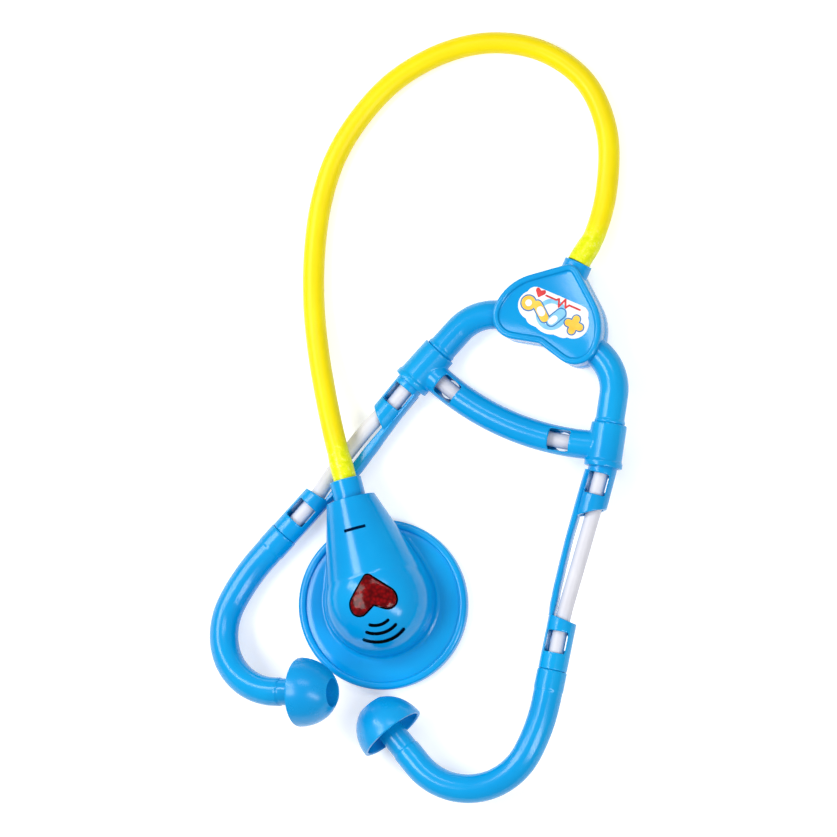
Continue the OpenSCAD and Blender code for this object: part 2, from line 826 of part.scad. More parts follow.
// Speaker: under the slots, tilted with the dome
speaker_y = -11.4;
speaker_drop = 6.2;
speaker_h = dish_h + (dome_h - dish_h) * pow(1 - pow((bulb_y - speaker_y) / bulb_r, bulb_power), 1 / bulb_power)
    - speaker_drop;
speaker_tilt = 35;
seat_wall = 0.8;
module at_speaker() {
    translate([0, speaker_y, speaker_h]) rotate([speaker_tilt, 0, 0]) children();
}

module lens_prism(grow, low, high) {
    translate([0, heart_y, low]) linear_extrude(height = high - low) polygon(inset(lens_outline, -grow));
}

module speaker_slots() {
    for (i = [0 : 2]) translate([0, slot_centre_y, dome_h / 2]) rotate([0, 0, -90 - slot_half_angles[i]])
        rotate_extrude(angle = 2 * slot_half_angles[i]) translate([slot_radii[i] - slot_w / 2, 0])
            square([slot_w, dome_h]);
}

module chest_top_shell() {
    color(blue) in_chest() difference() {
        union() {
            difference() {
                union() {
                    dish();
                    dome(0, base_t, neck_reach);
                }
                dome(-chest_wall, 0, neck_reach - chest_wall);
            }
            intersection() {
                dome(-chest_wall / 2, base_t, neck_reach);
                union() {
                    for (i = [0 : 2]) base_screw_place(i) translate([0, 0, base_boss_h])
                        cylinder(h = dome_h, r = boss_r);
                    at_speaker() translate([0, 0, -speaker_t / 2]) difference() {
                        cylinder(h = dome_h, d = speaker_d + 2 * (seat_gap + seat_wall));
                        translate([0, 0, -over]) cylinder(h = dome_h + 2 * over, d = speaker_d + 2 * seat_gap);
                    }
                }
            }
        }
        for (i = [0 : 2]) base_screw_place(i) {
            cylinder(h = base_screw_l + base_t, d = screw_d + 2 * fit);
            cylinder(h = base_boss_h, r = base_boss_r + seat_gap);
        }
        lens_prism(heart_gap, dome_h / 2, dome_h + over);
        speaker_slots();
        translate([-neck_slot.x / 2, neck_slot_y - neck_slot.y / 2, neck_axis_h + over])
            cube([neck_slot.x, neck_slot.y, dome_h]);
        translate([0, neck_reach - 2 * chest_wall, neck_axis_h]) run(3 * chest_wall, neck_bore_r + fit);
    }
}

// Collar and barb that carry the hose
module chest_connector() {
    plug_l = chest_wall + seat_gap;
    color(blue) in_chest() translate([0, neck_reach, neck_axis_h]) {
        difference() {
            union() {
                run(chest_collar_l, chest_collar_d / 2);
                past_run(-plug_l) run(plug_l, neck_bore_r);
                past_run(-plug_l - collar_flange_t) run(collar_flange_t, neck_bore_r + collar_flange_w);
                run(chest_collar_l + barb_l, barb_d / 2);
            }
            past_run(-plug_l - collar_flange_t - over)
                run(plug_l + collar_flange_t + chest_collar_l + barb_l + 2 * over, barb_d * sound_bore_share / 2);
        }
    }
}

// Base plate: screw bosses, the battery box with its door opening, and posts for the circuit board
cell_gap = 0.2;
box_wall = 1;
box_y = -8.2;
cell_axis_h = door_t + cell_gap + cell_d / 2;
box_r = cell_d / 2 + cell_gap;
contact_t = 0.5;
contact_share = 0.8;
cell_count = 3;
cells_half_l = cell_t * cell_count / 2;
box_half_l = cells_half_l + contact_t + 2 * cell_gap;
door_screw_x = 13.2;
door_boss_h = 9;
door_margin = 1.2;
door_gap = 0.2;
board_h = 16;
board_size = [20, 26];
board_y = -3.6;
board_post_r = 1.8;
board_post_places = [[-8, 1], [8, 1], [-7, 20], [7, 20]];

module box_cylinder(r, half_l) {
    translate([-half_l, box_y, cell_axis_h]) rotate([0, 90, 0]) cylinder(h = 2 * half_l, r = r);
}

module door_plate(grow, low, high) {
    from = [-box_half_l - box_wall - door_margin, box_y - box_r - door_margin];
    to = [door_screw_x + screw_head_d / 2 + door_margin / 2, box_y + box_r + door_margin / 2];
    translate([from.x - grow, from.y - grow, low])
        cube([to.x - from.x + 2 * grow, to.y - from.y + 2 * grow, high - low]);
}

module chest_base_plate() {
    r = disc_d / 2 - lip_w - fit;
    color(blue) in_chest() difference() {
        union() {
            cylinder(h = base_t, r = r, $fn = dish_facets);
            for (i = [0 : 2]) base_screw_place(i) cylinder(h = base_boss_h, r = base_boss_r);
            box_cylinder(box_r + box_wall, box_half_l + box_wall);
            translate([-box_half_l - box_wall, box_y - box_r - box_wall, 0])
                cube([2 * (box_half_l + box_wall), 2 * (box_r + box_wall), cell_axis_h]);
            translate([door_screw_x, box_y, 0]) cylinder(h = door_boss_h, r = screw_head_d / 2);
            for (place = board_post_places) translate(place) cylinder(h = board_h, r = board_post_r);
        }
        box_cylinder(box_r, box_half_l);
        translate([-box_half_l, box_y - box_r, -over]) cube([2 * box_half_l, 2 * box_r, over + cell_axis_h]);
        door_plate(door_gap, -over, door_t);
        translate([door_screw_x, box_y, -over]) cylinder(h = door_boss_h, d = screw_d + 2 * fit);
        for (i = [0 : 2]) base_screw_place(i) translate([0, 0, -over]) {
            cylinder(h = over + base_head_at + screw_head_h, d = screw_head_d + 2 * seat_gap);
            cylinder(h = base_boss_h + 2 * over, d = screw_d + 2 * fit);
        }
    }
}

module base_screw(i) {
    color(steel) in_chest() base_screw_place(i) translate([0, 0, base_head_at]) screw(base_screw_l);
}

door_head_at = 0.1;
door_screw_l = 5;
module battery_door() {
    grip_w = 8;
    grip_l = 1.2;
    grip_depth = 0.4;
    color(blue) in_chest() difference() {
        door_plate(0, 0, door_t);
        translate([door_screw_x, box_y, -over]) {
            cylinder(h = over + door_head_at + screw_head_h - cell_gap, d = screw_head_d + 2 * fit);
            cylinder(h = door_t + 2 * over, d = screw_d + 2 * fit);
        }
        for (i = [-1, 0, 1]) translate([-grip_w / 2, box_y + 2 * i * grip_l - grip_l / 2, -over])
            cube([grip_w, grip_l, over + grip_depth]);
    }
}

module battery_door_screw() {
    color(steel) in_chest() translate([door_screw_x, box_y, door_head_at]) thin_screw();
}

// The door's screw has a thinner head than the others
module thin_screw() {
    head_h = screw_head_h - cell_gap;
    cylinder(h = head_h, d = screw_head_d);
    cylinder(h = head_h + door_screw_l, d = screw_d);
}

cell_step = 0.6;
module button_cell(i) {
    color(steel) in_chest() translate([i * cell_t - cells_half_l, box_y, cell_axis_h]) rotate([0, 90, 0]) {
        cylinder(h = cell_t - cell_step, d = cell_d);
        cylinder(h = cell_t, d = cell_d - 2 * cell_step);
    }
}

module battery_contact(direction) {
    x = direction > 0 ? cells_half_l : -cells_half_l - contact_t;
    color(steel) in_chest() translate([x, box_y, cell_axis_h]) rotate([0, 90, 0])
        cylinder(h = contact_t, d = cell_d * contact_share);
}

// Electronics
switch_w = 6;
switch_h = 3.5;
switch_y = 3;
plunger_d = 3.5;
plunger_h = 0.9;
light_d = 3;
light_y = 10.8;
light_h = 4.5;
board_top = board_h + board_t;

module circuit_board() {
    color(green) in_chest() translate([-board_size.x / 2, board_y, board_h]) cube([board_size.x, board_size.y, board_t]);
}

module tact_switch() {
    color(black) in_chest() translate([0, switch_y, board_top]) {
        translate([-switch_w / 2, -switch_w / 2, 0]) cube([switch_w, switch_w, switch_h]);
        cylinder(h = switch_h + plunger_h, d = plunger_d);
    }
}

module light() {
    color(red) in_chest() translate([0, light_y, board_top]) {
        cylinder(h = light_h - light_d / 2, d = light_d);
        translate([0, 0, light_h - light_d / 2]) sphere(d = light_d);
    }
}

// Heart button: a lens that follows the dome, a flat flange under the shell, and a stem
flange_top = 24.8;
flange_t = 1.2;
flange_w = 1.2;
stem_gap = 0.1;
button_stem_d = 4;
flange_outline = heart(heart_w + 2 * flange_w, heart_l + 2 * flange_w, lens_corner_shares, lens_radius_shares,
    heart_steps);
module heart_button() {
    flange_low = flange_top - flange_t;
    flange_middle = flange_top - flange_t / 2;
    stem_low = board_top + switch_h + plunger_h + heart_travel + stem_gap;
    color(red) in_chest() {
        intersection() {
            lens_prism(0, flange_middle, dome_h + 2 * over);
            dome(heart_proud, base_t, neck_reach);
        }
        translate([0, heart_y - flange_w, flange_low]) linear_extrude(height = flange_t) polygon(flange_outline);
        translate([0, switch_y, stem_low]) cylinder(h = flange_middle - stem_low, d = button_stem_d);
    }
}

// Rubber dome that lifts the heart button
return_wall = 1;
return_clear = 0.3;
module return_dome() {
    inner_r = switch_w / sqrt(2) + return_clear;
    h = flange_top - flange_t - board_top;
    color(white) in_chest() translate([0, switch_y, board_top]) difference() {
        cylinder(h = h, r = inner_r + return_wall);
        translate([0, 0, -over]) cylinder(h = h + 2 * over, r = inner_r);
    }
}

cone_d_share = 0.7;
cone_depth_share = 0.25;
module speaker() {
    cone_d = speaker_d * cone_d_share;
    cone_depth = speaker_t * cone_depth_share;
    color(black) in_chest() at_speaker() difference() {
        translate([0, 0, -speaker_t]) cylinder(h = speaker_t, d = speaker_d);
        translate([0, 0, -cone_depth]) cylinder(h = cone_depth + over, d = cone_d);
    }
}

yoke_front_shell();
yoke_rear_shell();
yoke_label();
yoke_screw(0);  // yoke_screw_1
yoke_screw(1);  // yoke_screw_2
yoke_screw(2);  // yoke_screw_3
yoke_connector();
upper_arm(LEFT);  // left_upper_arm
upper_arm(RIGHT);  // right_upper_arm
crossbar_frame();
crossbar_rod();
arm_link(LEFT);  // left_arm_link
arm_link(RIGHT);  // right_arm_link
arm_strip(LEFT);  // left_arm_strip
arm_strip(RIGHT);  // right_arm_strip
link_rod(LEFT);  // left_link_rod
link_rod(RIGHT);  // right_link_rod
arm_rod(LEFT);  // left_arm_rod
arm_rod(RIGHT);  // right_arm_rod
ear_socket(LEFT);  // left_ear_socket
ear_socket(RIGHT);  // right_ear_socket
ear_tube(LEFT);  // left_ear_tube
ear_tube(RIGHT);  // right_ear_tube
ear_tip(LEFT);  // left_ear_tip
ear_tip(RIGHT);  // right_ear_tip
sound_tube();
chest_connector();
chest_top_shell();
chest_base_plate();
base_screw(0);  // base_screw_1
base_screw(1);  // base_screw_2
base_screw(2);  // base_screw_3
battery_door();
battery_door_screw();
button_cell(0);  // button_cell_1
button_cell(1);  // button_cell_2
button_cell(2);  // button_cell_3
battery_contact(1);  // battery_contact_plus
battery_contact(-1);  // battery_contact_minus
circuit_board();
heart_button();
return_dome();
light();
tact_switch();
speaker();
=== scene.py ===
import json
from math import acos, asin, atan2, cos, degrees, hypot, pi, radians, sin, tan

import bmesh
import bpy
from mathutils import Matrix, Vector


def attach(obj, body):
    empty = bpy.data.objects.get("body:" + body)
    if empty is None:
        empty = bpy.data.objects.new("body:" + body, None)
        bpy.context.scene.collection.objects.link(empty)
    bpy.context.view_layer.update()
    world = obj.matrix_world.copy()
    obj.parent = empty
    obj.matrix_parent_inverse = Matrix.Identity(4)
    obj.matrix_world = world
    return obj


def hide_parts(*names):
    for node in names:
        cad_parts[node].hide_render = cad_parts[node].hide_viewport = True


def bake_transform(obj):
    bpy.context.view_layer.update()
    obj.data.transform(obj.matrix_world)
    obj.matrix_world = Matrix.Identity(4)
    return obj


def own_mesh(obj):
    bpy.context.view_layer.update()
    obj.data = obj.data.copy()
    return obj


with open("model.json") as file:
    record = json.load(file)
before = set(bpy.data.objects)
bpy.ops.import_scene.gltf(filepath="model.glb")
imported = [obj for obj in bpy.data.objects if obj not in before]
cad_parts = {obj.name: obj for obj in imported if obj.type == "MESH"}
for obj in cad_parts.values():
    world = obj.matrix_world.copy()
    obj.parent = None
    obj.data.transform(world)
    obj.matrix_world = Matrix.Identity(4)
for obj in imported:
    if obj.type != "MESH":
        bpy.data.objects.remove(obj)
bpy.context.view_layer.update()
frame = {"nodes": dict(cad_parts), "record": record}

# Toy stethoscope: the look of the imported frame. Sizes are in millimetres until a piece is finished.
MM = 0.001
NO_TURN = Matrix.Identity(4)
LEFT, RIGHT = 0, 1
SIDES = ("left", "right")


# Places, worked out as in the part's source
def moved(x, y, z=0.0):
    return Matrix.Translation((x, y, z))


def turned(axis, angle):
    return Matrix.Rotation(radians(angle), 4, axis)


MIRROR_X = Matrix.Scale(-1, 4, (1, 0, 0))
MIRROR_Y = Matrix.Scale(-1, 4, (0, 1, 0))
HEADSET_AT = (18.3, 93.7, 11.35)
HEADSET_ROLL = -5
HEADSET_TILT = -1
YOKE_Y = 24.2
CHEST_TURN = 38.5
HEADSET = moved(*HEADSET_AT) @ turned("Y", HEADSET_ROLL) @ turned("X", HEADSET_TILT)
YOKE = HEADSET @ moved(0, YOKE_Y)
CHEST = turned("Z", CHEST_TURN)


def in_metres(place):
    """The same place for a mesh that is already in metres"""
    scaled = place.copy()
    scaled.translation *= MM
    return scaled


# Pairs give the left and the right value
ARM_LEAN = (19, 15.5)
STRIP_LEAN = (15.9, 9)
SOCKET_LEAN = (19, 12.5)
EAR_TURN = (17.3, 0)
STRIP_RUN = (37.9, 42.2)
HOOK_RUN = (2.6, 7.4)
TEE_X = 40.4
LINK_TURN_AT = 9.55
LINK_L = 18
EAR_STRAIGHT = 34
EAR_BEND_R = 75
EAR_BEND_ANGLE = 17
HOOK_BEND_R = 27
HOOK_BEND_ANGLE = 112
CUFF_L = 8.5


def past_bend(bend_r, angle):
    """From a tube's place before a bend to its place after it"""
    a = radians(angle)
    return moved(-bend_r * (1 - cos(a)), bend_r * sin(a)) @ turned("Z", angle)


def tee_place(side):
    mirror = MIRROR_X if side == LEFT else NO_TURN
    return HEADSET @ mirror @ moved(TEE_X, 0) @ turned("Z", ARM_LEAN[side])


def arm_place(side):
    return tee_place(side) @ MIRROR_Y


def link_place(side):
    return arm_place(side) @ moved(0, LINK_TURN_AT) @ turned("Z", ARM_LEAN[side] - STRIP_LEAN[side])


def strip_place(side):
    return link_place(side) @ moved(0, LINK_L)


def socket_place(side):
    return strip_place(side) @ moved(0, STRIP_RUN[side]) @ turned("Z", STRIP_LEAN[side] - SOCKET_LEAN[side])


def tip_place(side):
    ear = socket_place(side) @ turned("Y", EAR_TURN[side]) @ moved(0, EAR_STRAIGHT)
    hook = ear @ past_bend(EAR_BEND_R, EAR_BEND_ANGLE) @ past_bend(HOOK_BEND_R, HOOK_BEND_ANGLE)
    return hook @ moved(0, HOOK_RUN[side] + CUFF_L)


def placed(name, data):
    """A new object in the scene"""
    item = bpy.data.objects.new(name, data)
    bpy.context.scene.collection.objects.link(item)
    return item


# Camera: almost straight above, with a long lens
CAMERA_TURN = 23.5
CAMERA_TILT = 9.4
PIXEL = 0.4
IMAGE = 837
CAMERA_DISTANCE = 3.0
SENSOR = 36.0
CLIP_END = 20
LOOK_AT = (-16.7, 73.92, 5.0)


def make_camera():
    turn = radians(CAMERA_TURN)
    tilt = radians(CAMERA_TILT)
    across = Vector((cos(tilt), 0, -sin(tilt)))
    along = Vector((0, 1, 0))
    right = across * cos(turn) + along * sin(turn)
    up = along * cos(turn) - across * sin(turn)
    back = Vector((sin(tilt), 0, cos(tilt)))
    data = bpy.data.cameras.new("camera")
    data.sensor_width = SENSOR
    data.lens = SENSOR * CAMERA_DISTANCE / (IMAGE * PIXEL * MM)
    data.clip_end = CLIP_END
    camera = placed("camera", data)
    camera.matrix_world = Matrix((right, up, back)).transposed().to_4x4()
    camera.matrix_world.translation = Vector(LOOK_AT) * MM + back * CAMERA_DISTANCE
    bpy.context.scene.camera = camera


# Shader maths
class Wire:
    """A node's output socket that takes part in sums"""

    def __init__(self, look, socket):
        self.look = look
        self.socket = socket

    def _math(self, operation, a, b):
        return self.look.add("ShaderNodeMath", {"operation": operation}, {0: a, 1: b})

    def __add__(self, other):
        return self._math("ADD", self, other)

    def __radd__(self, other):
        return self._math("ADD", other, self)

    def __sub__(self, other):
        return self._math("SUBTRACT", self, other)

    def __rsub__(self, other):
        return self._math("SUBTRACT", other, self)

    def __mul__(self, other):
        return self._math("MULTIPLY", self, other)

    def __rmul__(self, other):
        return self._math("MULTIPLY", other, self)

    def clamped(self):
        return self.look.add("ShaderNodeClamp", {}, {"Value": self})


class Look:
    """A material with one Principled shader"""

    def __init__(self, name, **uniform):
        self.material = bpy.data.materials.new(name)
        self.material.use_nodes = True
        self.tree = self.material.node_tree
        self.shader = self.tree.nodes["Principled BSDF"]
        self.out = self.tree.nodes["Material Output"]
        for socket, value in uniform.items():
            self.set(socket.replace("_", " "), value)

    def set(self, socket, value):
        if isinstance(value, Wire):
            self.tree.links.new(value.socket, self.shader.inputs[socket])
        else:
            self.shader.inputs[socket].default_value = value

    def add(self, kind, settings, values, output=0):
        node = self.tree.nodes.new(kind)
        for key, value in settings.items():
            if key == "stops":
                self._stops(node.color_ramp, value)
            else:
                setattr(node, key, value)
        for key, value in values.items():
            if isinstance(value, Wire):
                self.tree.links.new(value.socket, node.inputs[key])
            else:
                node.inputs[key].default_value = value
        return Wire(self, node.outputs[output])

    def _stops(self, ramp, stops):
        while len(ramp.elements) < len(stops):
            ramp.elements.new(0.5)
        for element, (place, colour) in zip(ramp.elements, stops):
            element.position = place
            element.color = colour

    def place(self):
        return self.add("ShaderNodeTexCoord", {}, {}, "Object")

    def noise(self, scale, detail=2.0, rough=0.5):
        return self.add("ShaderNodeTexNoise", {}, {
            "Vector": self.place(), "Scale": scale, "Detail": detail, "Roughness": rough})

    def ramp(self, factor, stops):
        return self.add("ShaderNodeValToRGB", {"stops": stops}, {"Fac": factor})

    def mix(self, factor, a, b):
        """Colour a where the factor is 0 and b where it is 1, on the node's colour sockets"""
        return self.add("ShaderNodeMix", {"data_type": "RGBA"}, {0: factor, 6: a, 7: b}, 2)

    def bump(self, height, distance, strength=1.0):
        self.set("Normal", self.add("ShaderNodeBump", {}, {
            "Height": height, "Distance": distance, "Strength": strength}))


def colour(red, green, blue):
    """A colour given by its screen values"""
    def linear(c):
        c /= 255
        return c / 12.92 if c <= 0.04045 else ((c + 0.055) / 1.055) ** 2.4
    return (linear(red), linear(green), linear(blue), 1.0)


# Materials
HOSE_END = "over_barb"
BLUE = colour(0, 160, 229)
BLUE_LIGHT = colour(4, 169, 235)
BLUE_DEEP = colour(0, 151, 222)
TIP_BLUE = colour(2, 158, 228)
TIP_BLUE_LIGHT = colour(14, 168, 235)
TIP_BLUE_DEEP = colour(0, 148, 220)


def moulded(name, deep, middle, pale, roughness, **uniform):
    """Glossy moulded plastic: faint cloudy colour, fine haze, and a surface that isn't quite even"""
    look = Look(name, IOR=1.5, **uniform)
    cloud = look.noise(28, 3)
    look.set("Base Color", look.ramp(cloud, [(0.3, deep), (0.52, middle), (0.75, pale)]))
    haze = look.noise(160, 4, 0.6)
    scuff = look.noise(900, 2, 0.7)
    look.set("Roughness", (roughness - 0.05 + 0.1 * haze + 0.04 * scuff).clamped())
    look.bump(look.noise(260, 3) + 0.35 * look.noise(1900, 2), 0.00005, 0.35)
    return look.material


def hose_plastic():
    """Soft yellow plastic; over the barbs at its ends it turns clearer and greener, with pale speckles that
    are painted highlight
    """
    look = Look("soft_yellow_hose", IOR=1.45, Specular_IOR_Level=0.3, Subsurface_Weight=0.1,
                Subsurface_Radius=(0.004, 0.003, 0.001), Subsurface_Scale=1.0)
    cloud = look.noise(40, 3)
    plain = look.ramp(cloud, [
        (0.3, colour(246, 223, 0)), (0.6, colour(252, 231, 0)), (0.8, colour(254, 237, 2))])
    speckle = look.noise(420, 4, 0.7)
    # Over the barbs: a greener, clearer tint where the plug shows through, with pale yellow speckles that are
    # painted highlight
    clear = look.ramp(speckle, [
        (0.38, colour(226, 236, 6)), (0.55, colour(242, 246, 24)), (0.7, colour(254, 255, 130))])
    over_barb = look.add("ShaderNodeAttribute",
                         {"attribute_name": HOSE_END, "attribute_type": "GEOMETRY"}, {}, "Fac")
    look.set("Base Color", look.mix(over_barb, plain, clear))
    look.set("Roughness", (0.3 + 0.12 * look.noise(220, 4) - 0.08 * over_barb).clamped())
    look.bump(look.noise(420, 3) + 0.4 * look.noise(2300, 2) + over_barb * speckle, 0.00005, 0.4)
    return look.material


def rod_plastic():
    """White plastic with a cool, slightly uneven tone"""
    look = Look("white_rod_plastic", IOR=1.46, Specular_IOR_Level=0.4)
    look.set("Base Color", look.ramp(look.noise(60, 3), [
        (0.3, colour(218, 218, 227)), (0.6, colour(227, 227, 235)), (0.8, colour(235, 235, 241))]))
    look.set("Roughness", (0.32 + 0.14 * look.noise(300, 3)).clamped())
    look.bump(look.noise(700, 3), 0.00004, 0.35)
    return look.material


def lens_plastic():
    """Clear red plastic with small facets below its smooth face"""
    look = Look("clear_red_lens", IOR=1.5, Transmission_Weight=0.1, Specular_IOR_Level=0.13)
    cells = look.add("ShaderNodeTexVoronoi", {"feature": "F1"},
                     {"Vector": look.place(), "Scale": 620}, "Distance")
    cloud = look.noise(190, 3)
    look.set("Base Color", look.ramp((0.7 * cells + 0.5 * cloud).clamped(), [
        (0.12, colour(196, 14, 14)), (0.42, colour(138, 4, 10)), (0.78, colour(86, 1, 6))]))
    look.set("Roughness", (0.07 + 0.06 * cloud).clamped())
    look.bump(1 - cells, 0.0001, 0.12)
    return look.material


def steel():
    look = Look("plated_steel", Metallic=1.0)
    look.set("Base Color", look.ramp(look.noise(300, 4), [
        (0.3, colour(176, 178, 184)), (0.7, colour(214, 215, 219))]))
    look.set("Roughness", (0.22 + 0.2 * look.noise(1500, 3)).clamped())
    look.bump(look.noise(2200, 2), 0.00002, 0.4)
    return look.material


def dull(name, dark, pale, roughness, grain):
    """Matt plastic, board lacquer or print"""
    look = Look(name)
    cloud = look.noise(grain, 3)
    look.set("Base Color", look.ramp(cloud, [(0.3, dark), (0.7, pale)]))
    look.set("Roughness", (roughness + 0.1 * cloud).clamped())
    look.bump(look.noise(grain * 6, 2), 0.00003, 0.4)
    return look.material


# By material slot of the record; the label's slot has one for each colour of its print
MATERIALS = {
    "blue": moulded("blue_moulded_plastic", BLUE_DEEP, BLUE, BLUE_LIGHT, 0.16, Specular_IOR_Level=0.36),
    "ear_tip": moulded("blue_soft_plastic", TIP_BLUE_DEEP, TIP_BLUE, TIP_BLUE_LIGHT, 0.24,
                       Specular_IOR_Level=0.38),
    "hose": hose_plastic(),
    "white_rod": rod_plastic(),
    "heart": lens_plastic(),
    "steel": steel(),
    "black": dull("black_moulded_plastic", colour(12, 13, 18), colour(24, 26, 32), 0.4, 400),
    "board": dull("green_board_lacquer", colour(10, 84, 44), colour(22, 104, 58), 0.35, 300),
    "soft_white": dull("white_silicone", colour(222, 222, 218), colour(236, 236, 232), 0.5, 300),
    "label_white": dull("label_white_print", colour(240, 241, 243), colour(250, 250, 250), 0.28, 240),
    "label_yellow": dull("label_yellow_print", colour(250, 190, 40), colour(255, 214, 78), 0.28, 240),
    "label_blue": dull("label_blue_print", colour(16, 104, 176), colour(40, 136, 204), 0.28, 240),
    "label_sky": dull("label_sky_print", colour(110, 192, 232), colour(150, 214, 244), 0.28, 240),
    "label_red": dull("label_red_print", colour(206, 30, 34), colour(228, 48, 48), 0.28, 240),
}


# Mesh helpers
DOUBLES = 0.0005
SHARP_ANGLE = 35
FACES_UP = 0.9
FACES_SIDEWAYS = 0.1
SLOPE_BEND = 30
CORNER_BEND = 50
LEVEL = 0.01
TO_METRES = Matrix.Scale(MM, 4)
TO_MILLIMETRES = Matrix.Scale(1 / MM, 4)


def finish_piece(name, bm, place, body, material, replaced=(), sharp=SHARP_ANGLE):
    """The mesh in millimetres becomes a piece that rides on a body, or on none"""
    bm.transform(place)
    if place.determinant() < 0:
        bm.normal_update()
        bmesh.ops.recalc_face_normals(bm, faces=bm.faces)
    bm.transform(TO_METRES)
    mesh = bpy.data.meshes.new(name)
    bm.to_mesh(mesh)
    bm.free()
    mesh.shade_smooth()
    mesh.set_sharp_from_angle(angle=radians(sharp))
    piece = placed(name, mesh)
    mesh.materials.append(material)
    if replaced:
        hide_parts(*replaced)
    if body:
        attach(piece, body)
    return piece


def revolve(profile, steps, closed=False):
    """Turns a profile of (radius, height) about Z"""
    bm = bmesh.new()
    verts = [bm.verts.new((r, 0, z)) for r, z in profile]
    edges = [bm.edges.new(pair) for pair in zip(verts, verts[1:])]
    if closed:
        edges.append(bm.edges.new((verts[-1], verts[0])))
    bmesh.ops.spin(bm, geom=verts + edges, axis=(0, 0, 1), cent=(0, 0, 0), steps=steps, angle=2 * pi,
                   use_merge=True, use_duplicate=False)
    bmesh.ops.remove_doubles(bm, verts=bm.verts, dist=DOUBLES)
    bmesh.ops.recalc_face_normals(bm, faces=bm.faces)
    return bm


def solid_copy(name):
    """A CAD solid's mesh, in millimetres and joined up"""
    bm = bmesh.new()
    bm.from_mesh(frame["nodes"][name].data)
    bm.transform(TO_MILLIMETRES)
    bmesh.ops.remove_doubles(bm, verts=bm.verts, dist=DOUBLES)
    return bm


def verts_among(made):
    return [item for item in made if isinstance(item, bmesh.types.BMVert)]


def prism(outline, low, high):
    """A block with that outline, standing on height low"""
    bm = bmesh.new()
    base = bm.faces.new([bm.verts.new((x, y, low)) for x, y in outline])
    top = bmesh.ops.extrude_face_region(bm, geom=[base])["geom"]
    bmesh.ops.translate(bm, verts=verts_among(top), vec=(0, 0, high - low))
    bmesh.ops.recalc_face_normals(bm, faces=bm.faces)
    return bm


def faces_up(bm):
    return [f for f in bm.faces if f.normal.z > FACES_UP]


def top_face(bm):
    return max(faces_up(bm), key=lambda f: f.calc_center_median().z)


def level_edges(bm, height, bend=0.0):
    """Edges at that height where the faces turn by more than the bend, in degrees"""
    return [e for e in bm.edges if all(abs(v.co.z - height) < LEVEL for v in e.verts)
            and e.calc_face_angle(0) > radians(bend)]


def cut_off(bm, point, way):
    """Takes away what lies beyond a plane"""
    bmesh.ops.bisect_plane(bm, geom=bm.verts[:] + bm.edges[:] + bm.faces[:], plane_co=point, plane_no=way,
                           clear_outer=True)


def rounded_edges(bm, edges, width, segments=3):
    bmesh.ops.bevel(bm, geom=edges, offset=width, offset_type="OFFSET", segments=segments, profile=0.5,
                    affect="EDGES", material=-1, clamp_overlap=True)


def carve(piece, cutter_bm):
    """Cuts a closed shape in millimetres out of a piece"""
    cutter_bm.transform(TO_METRES)
    bmesh.ops.recalc_face_normals(cutter_bm, faces=cutter_bm.faces)
    mesh = bpy.data.meshes.new("cutter")
    cutter_bm.to_mesh(mesh)
    cutter_bm.free()
    cutter = placed("cutter", mesh)
    cut = piece.modifiers.new("cut", "BOOLEAN")
    cut.object = cutter
    cut.solver = "EXACT"
    settle(piece)
    bpy.data.objects.remove(cutter)


SLIVER_AREA = 0.03 * MM * MM


def drop_slivers(piece):
    """Cuts the faces beside a cut into triangles, and drops the slivers that lie folded between them"""
    bm = bmesh.new()
    bm.from_mesh(piece.data)
    bmesh.ops.triangulate(bm, faces=bm.faces)
    folded = [f for f in bm.faces if f.calc_area() < SLIVER_AREA
              and any(len(e.link_faces) != 2 for e in f.edges)]
    bmesh.ops.delete(bm, geom=folded, context="FACES")
    bm.to_mesh(piece.data)
    bm.free()


def settle(piece):
    """Applies the modifiers of a piece"""
    bpy.context.view_layer.update()
    depsgraph = bpy.context.evaluated_depsgraph_get()
    mesh = bpy.data.meshes.new_from_object(piece.evaluated_get(depsgraph))
    piece.modifiers.clear()
    old = piece.data
    name = old.name
    piece.data = mesh
    bpy.data.meshes.remove(old)
    mesh.name = name
    mesh.shade_smooth()
    mesh.set_sharp_from_angle(angle=radians(SHARP_ANGLE))


# Heart outlines, as in the part's source
def corner_arc(a, p, b, r, steps):
    """Points of the arc of radius r that rounds the corner p between a and b"""
    a, p, b = Vector(a), Vector(p), Vector(b)
    to_a, to_b = (a - p).normalized(), (b - p).normalized()
    half = acos(max(-1, min(1, to_a.dot(to_b)))) / 2
    centre = p + (to_a + to_b).normalized() * r / sin(half)
    arm = p + to_a * r / tan(half) - centre
    into, out = p - a, b - p
    way = 1 if into.x * out.y - into.y * out.x > 0 else -1
    sweep = way * (pi - 2 * half)
    points = []
    for k in range(steps + 1):
        t = sweep * k / steps
        points.append((centre.x + arm.x * cos(t) - arm.y * sin(t),
                       centre.y + arm.x * sin(t) + arm.y * cos(t)))
    return points


def heart(width, length, corner_shares, radius_shares, steps):
    """A heart with its tip at the far end of Y; the corners are given from tip to cleft, on one side"""
    tip, shoulder, lobe, cleft = [(x * width / 2, y * length) for x, y in corner_shares]
    corners = [cleft, lobe, shoulder, tip, (-shoulder[0], shoulder[1]), (-lobe[0], lobe[1])]
    order = [3, 2, 1, 0, 1, 2]
    outline = []
    for i, corner in enumerate(corners):
        after = corners[(i + 1) % len(corners)]
        outline += corner_arc(corners[i - 1], corner, after, width * radius_shares[order[i]], steps)
    return outline


def shrunk(outline, d):
    """The outline moved inwards by d"""
    moved_in = []
    for i, (x, y) in enumerate(outline):
        before, after = outline[i - 1], outline[(i + 1) % len(outline)]
        along = Vector((after[0] - before[0], after[1] - before[1])).normalized()
        moved_in.append((x - d * along.y, y + d * along.x))
    return moved_in


